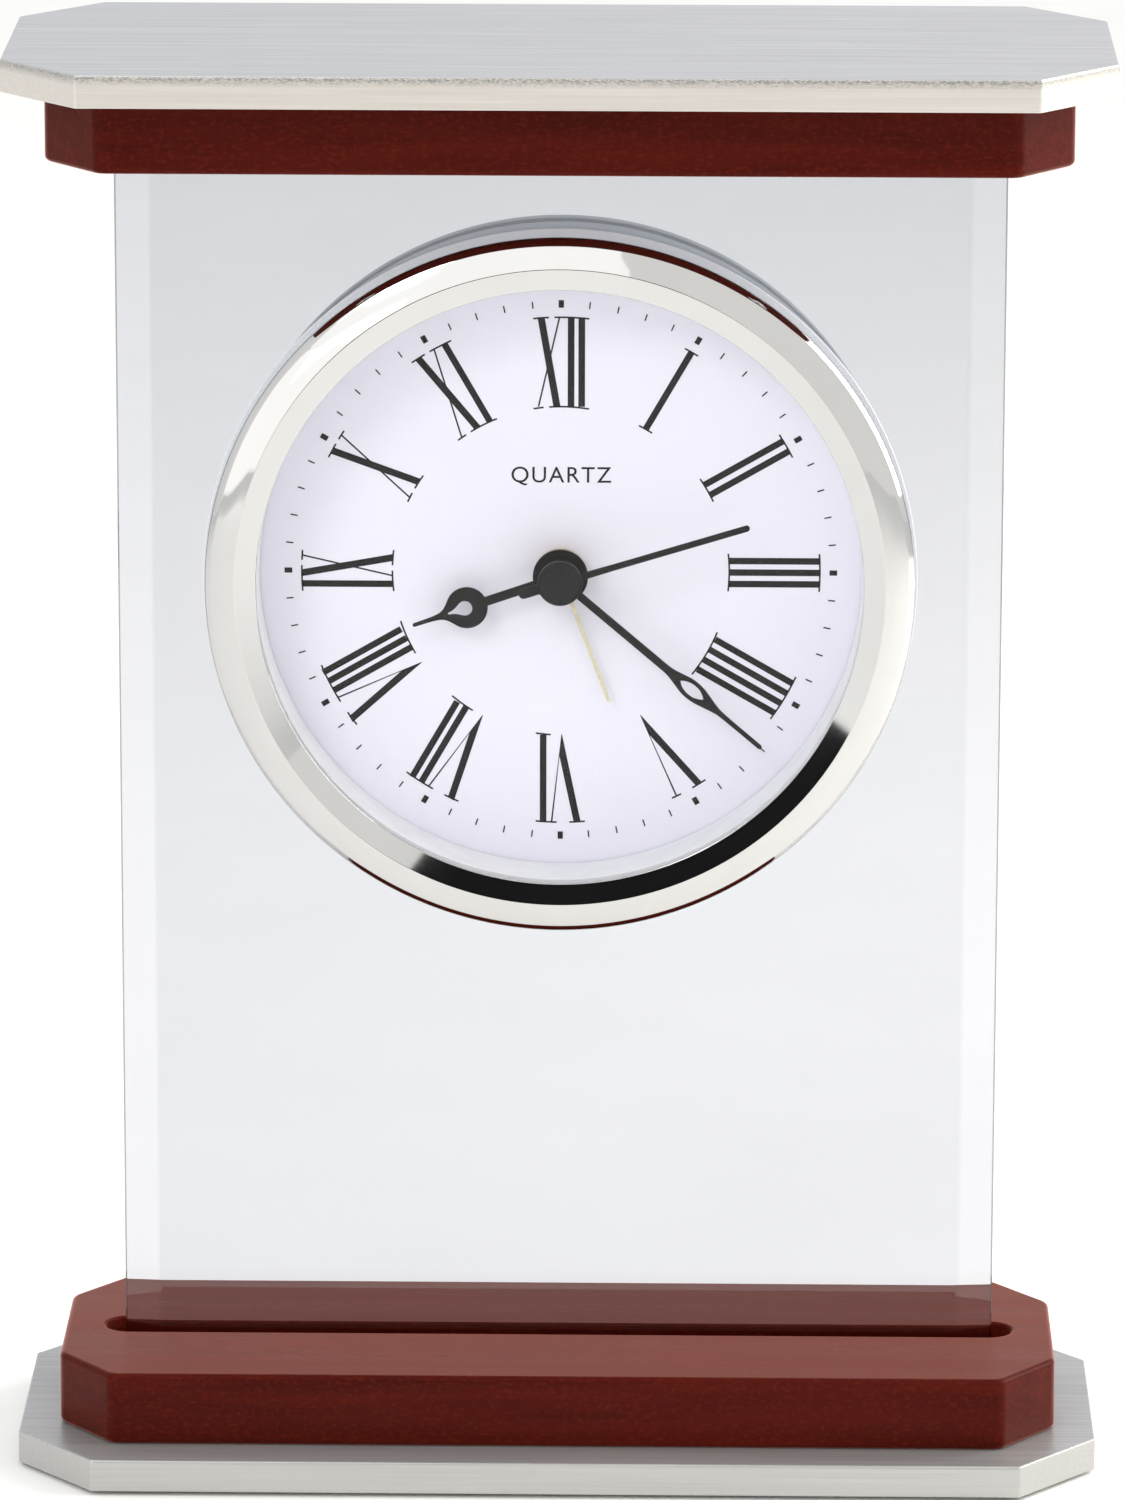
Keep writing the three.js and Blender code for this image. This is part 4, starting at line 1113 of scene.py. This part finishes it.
def numeral(text):
    patches = []
    ends = {"outer": [], "inner": []}
    for i, (letter, place) in enumerate(zip(text, letter_places(text))):
        if letter == "V":
            patches.append(v_patch(place))
        for outer_x, inner_x, width, has_foot in LETTERS[letter]:
            if letter != "V":
                patches.append(stroke_patch(place + outer_x, place + inner_x, width))
            ends["outer"].append((place + outer_x, width / 2, i))
            if has_foot:
                ends["inner"].append((place + inner_x, width / 2, i))
    for side, marks in ends.items():
        low = NUMERAL["inner"] if side == "inner" else NUMERAL["outer"] - NUMERAL["serif"]
        groups = []
        for mark in sorted(marks):
            near = groups and mark[0] - groups[-1][-1][0] < SHARED_SERIF and mark[2] != groups[-1][-1][2]
            if near:
                groups[-1].append(mark)
            else:
                groups.append([mark])
        for group in groups:
            left = group[0][0] - group[0][1] - NUMERAL["reach"]
            right = group[-1][0] + group[-1][1] + NUMERAL["reach"]
            patches.append(serif_patch(left, right, low, low + NUMERAL["serif"]))
    return join(*[ink(patch, order) for order, patch in enumerate(patches)])


def minute_track():
    """Sixty marks round the numerals, with a block at every fifth."""
    radius, face = TRACK_RADIUS, span("dial")[0].y
    bm = bmesh.new()
    for minute in range(60):
        wide, tall = BLOCK_MARK if minute % 5 == 0 else THIN_MARK
        mark = box((-wide / 2, face - INK, radius - tall / 2), (wide / 2, face + INK / 2, radius + tall / 2))
        bm.from_mesh(spun(mark, 6 * minute))
    return mesh_of(bm)


def lettering(text, size, height):
    """A plain word in capitals, centred at a height above the dial's centre."""
    curve = bpy.data.curves.new("word", "FONT")
    curve.body = text
    curve.size = size
    curve.space_character = 1.12
    curve.align_x = "CENTER"
    curve.align_y = "CENTER"
    curve.extrude = INK * 0.75
    return upright_solid(curve, span("dial")[0].y - INK / 4, height)


def dial():
    low, high = span("dial")
    hole = 3.3
    outline = [(hole, low.y, 0.05), (high.x, low.y, 0.05), (high.x, high.y), (hole, high.y)]
    piece("dial_face", lathe(outline, steps=2), "root", "dial_card", ["dial"])
    for hour, text in enumerate(HOURS):
        piece(f"numeral_{hour or 12}", numeral(text), "root", "black_paint", turn=30 * hour)
    piece("minute_track", minute_track(), "root", "black_paint")
    piece("dial_word", lettering("QUARTZ", 3.4, 14.4), "root", "black_paint")


# ---------------------------------------------------------------- the hands
def hand(name, node, outlines, body, slot, angle, edge=0.06):
    low, high = span(node)
    return piece(name, flat(outlines, low.y, high.y, edge), body, slot, [node], turn=angle)


def rounded_tip(half, length):
    """The right half of a hand's round tip."""
    return arc(half, 0, 90, 6, (0, length - half))


def hub_arc(radius, half):
    """The right half of a hub disc, from the bottom up to where a shank of a given half width leaves it."""
    return arc(radius, -90, math.degrees(math.acos(half / radius)), 40)


def circle(radius):
    return arc(radius, 0, 360 * 47 / 48, 47)


def hour_hand():
    hub, shank, disc, disc_z, length = 4.05, 0.68, 3.07, 14.5, 22.9
    leave = math.degrees(math.acos(shank / disc))
    shoulder = (2.18, 16.66)
    taper = smooth([shoulder, (1.07, 17.67), (0.56, 18.5), (0.34, 19.9), (0.27, length - 0.6)])
    right = [
        *hub_arc(hub, shank), *arc(disc, -leave, 44, 24, (0, disc_z)), *taper, *rounded_tip(0.27, length),
    ]
    eye_z, eye = 14.82, 1.11
    eye_right = [*arc(eye, -90, 38, 20, (0, eye_z)), *smooth([(0.6, 15.95), (0.3, 16.6), (0.16, 17.36)])]
    outlines = [mirrored(right), circle(2.35), mirrored([*eye_right, (0, 17.4)])]
    hand("hour_pointer", "hour_hand", outlines, "hour_group", "black_paint", 251)


def minute_hand():
    hub, shank, length = 3.0, 0.575, 38.9
    loop = smooth([
        (shank, 20.2), (0.66, 21.4), (1.0, 22.9), (1.34, 24.4), (1.4, 25.6), (1.28, 26.9), (0.92, 28.4),
        (0.54, 30), (0.37, 31.6), (0.33, length - 0.6),
    ])
    right = [*hub_arc(hub, shank), *loop, *rounded_tip(0.33, length)]
    eye = smooth([
        (0.04, 23.25), (0.5, 23.9), (0.8, 24.9), (0.825, 25.5), (0.74, 26.3), (0.4, 27.1), (0.04, 27.6),
    ])
    outlines = [mirrored(right), circle(1.65), mirrored([(0, 23.2), *eye, (0, 27.65)])]
    hand("minute_pointer", "minute_hand", outlines, "minute_group", "black_paint", 130.5)


def second_hand():
    """A slim pointer with a counterweight tail, under a domed cap that is closed in front."""
    low, high = span("second_hand")
    length, tail, cap = 28.9, 6.3, 3.3
    blade_front = high.y - 0.4
    tail_end = [(x, -z) for x, z in reversed(arc(0.75, 0, 90, 6, (0, tail - 0.75)))]
    right = [*tail_end, (0.72, -3), (0.52, -2), (0.52, 3), (0.46, 8), *rounded_tip(0.46, length)]
    blade = flat([mirrored(right)], blade_front, high.y, 0.06)
    dome = lathe([(0, low.y), (cap, low.y, 0.55), (cap, high.y, 0.1), (0, high.y)], 128, 6)
    bore = rod(0.95, blade_front - 0.4, high.y + PAST, sides=32)
    body = cut(join(dome, blade), bore)
    piece("second_pointer", body, "second_group", "black_paint", ["second_hand"], turn=73)


def alarm_hand():
    right = [*hub_arc(3.9, 0.3), (0.3, 6), *rounded_tip(0.26, 20.5)]
    outlines = [mirrored(right), circle(3.15)]
    hand("alarm_pointer", "alarm_hand", outlines, "alarm_hand_group", "champagne_paint", 159.5, 0.04)


dial()
hour_hand()
minute_hand()
second_hand()
alarm_hand()


# ---------------------------------------------------------------- pieces kept from the frame
KEPT = {
    "white_plastic": [
        "main_plate", "bridge_plate", "second_wheel", "third_wheel", "motion_wheel", "intermediate_wheel",
        "alarm_idler", "time_stem", "alarm_stem",
    ],
    "brass": ["centre_wheel", "hour_wheel", "alarm_wheel", "sounder"],
    "plated_steel": [
        "contact_plus", "contact_minus", "coil_core", "stator", *[f"bridge_screw_{i}" for i in (1, 2, 3)],
    ],
    "black_plastic": ["rotor"],
    "copper_wire": ["coil"],
    "board_green": ["circuit_board"],
}
for slot_name, node_names in KEPT.items():
    for node_name in node_names:
        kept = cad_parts[node_name]
        kept.data.materials.clear()
        kept.data.materials.append(FINISHES[slot_name])


# ---------------------------------------------------------------- the room
def sheet(name, wide, deep):
    """A flat rectangle round the origin, in metres."""
    x, y = wide / 2, deep / 2
    mesh = bpy.data.meshes.new(name)
    mesh.from_pydata([(-x, -y, 0), (x, -y, 0), (x, y, 0), (-x, y, 0)], [], [(0, 1, 2, 3)])
    return placed(name, mesh)


def pale_floor():
    obj = sheet("floor", 12, 12)
    obj.location.z = -SEAM * MM
    finish = Finish("floor", (0.9, 0.9, 0.89), 0.8, Specular_IOR_Level=0.1)
    finish.coloured((0.89, 0.885, 0.87), (0.91, 0.905, 0.895), 40)
    obj.data.materials.append(finish.material)


def card(name, centre, size, facing, colour):
    """A card that only mirrors see, as a studio flag."""
    obj = sheet(name, *size)
    aim(obj, centre, facing)
    obj.visible_camera = False
    obj.visible_diffuse = False
    obj.visible_shadow = False
    obj.visible_transmission = False
    obj.data.materials.append(Finish(name, colour, 0.9, Specular_IOR_Level=0.0).material)


def aim(obj, place, target):
    obj.location = place
    direction = Vector(target) - Vector(place)
    obj.rotation_euler = direction.to_track_quat("-Z", "Y").to_euler()


def softbox(name, place, target, size, radiance, colour):
    """A soft rectangular lamp of a given brightness."""
    light = bpy.data.lights.new(name, "AREA")
    light.shape = "RECTANGLE"
    light.size, light.size_y = size
    light.energy = radiance * math.pi * size[0] * size[1]
    light.color = colour
    aim(placed(name, light), place, target)


def studio_world(front, back):
    """Pale surroundings, a little warmer and brighter in front of the clock than behind it."""
    world = bpy.data.worlds.new("studio")
    bpy.context.scene.world = world
    world.use_nodes = True
    tree = world.node_tree
    place = tree.nodes.new("ShaderNodeTexCoord")
    axes = tree.nodes.new("ShaderNodeSeparateXYZ")
    spread = tree.nodes.new("ShaderNodeMapRange")
    spread.inputs["From Min"].default_value = -0.6
    spread.inputs["From Max"].default_value = 0.6
    mix = tree.nodes.new("ShaderNodeMix")
    mix.data_type = "RGBA"
    mix.inputs["A"].default_value = (*front, 1)
    mix.inputs["B"].default_value = (*back, 1)
    tree.links.new(place.outputs["Generated"], axes.inputs["Vector"])
    tree.links.new(axes.outputs["Y"], spread.inputs["Value"])
    tree.links.new(spread.outputs["Result"], mix.inputs["Factor"])
    tree.links.new(mix.outputs["Result"], tree.nodes["Background"].inputs["Color"])


def camera():
    """A long lens a little above the clock, looking slightly down."""
    position = Vector((19.554, -1237.671, 418.900)) * MM
    # Down from level, clockwise from +Y, and clockwise about the line of sight.
    pitch, yaw, roll = (math.radians(a) for a in (14.2363, -0.8893, -0.1201))
    data = bpy.data.cameras.new("camera")
    data.sensor_width = 36
    data.lens = 208.9
    obj = placed("camera", data)
    heading = Matrix.Rotation(-yaw, 4, "Z") @ Matrix.Rotation(math.radians(90) - pitch, 4, "X")
    obj.matrix_world = Matrix.Translation(position) @ heading @ Matrix.Rotation(-roll, 4, "Z")
    bpy.context.scene.camera = obj


WARM = (1.0, 0.965, 0.90)
NEUTRAL = (1.0, 1.0, 1.0)
pale_floor()
camera()
studio_world((1.05, 1.045, 1.03), (0.87, 0.885, 0.91))
softbox("front_box", (-0.5, -1.7, 0.98), (-0.15, 0, 0.2), (1.5, 0.85), 0.5, NEUTRAL)
softbox("left_box", (-1.05, -1.5, 0.42), (0, 0, 0.13), (1.1, 0.66), 0.55, NEUTRAL)
softbox("key_box", (-0.9, -1.5, 1.35), (0, 0, 0.13), (0.6, 0.6), 7.0, NEUTRAL)
softbox("right_box", (0.8, 0.12, 0.5), (0.1, 0, 0.05), (0.7, 0.7), 6.0, WARM)
softbox("top_box", (0, 0.1, 1.25), (0, 0, 0), (1.1, 1.1), 0.3, NEUTRAL)
card("low_card", (-0.15, -1.32, 0.23), (0.70, 0.40), (-0.15, 0, 0.23), (0.012, 0.012, 0.013))
card("warm_card", (0, -0.85, 0.004), (0.26, 0.8), (0, -0.85, 1), (0.99, 0.94, 0.86))
bpy.context.scene.view_settings.view_transform = "Standard"
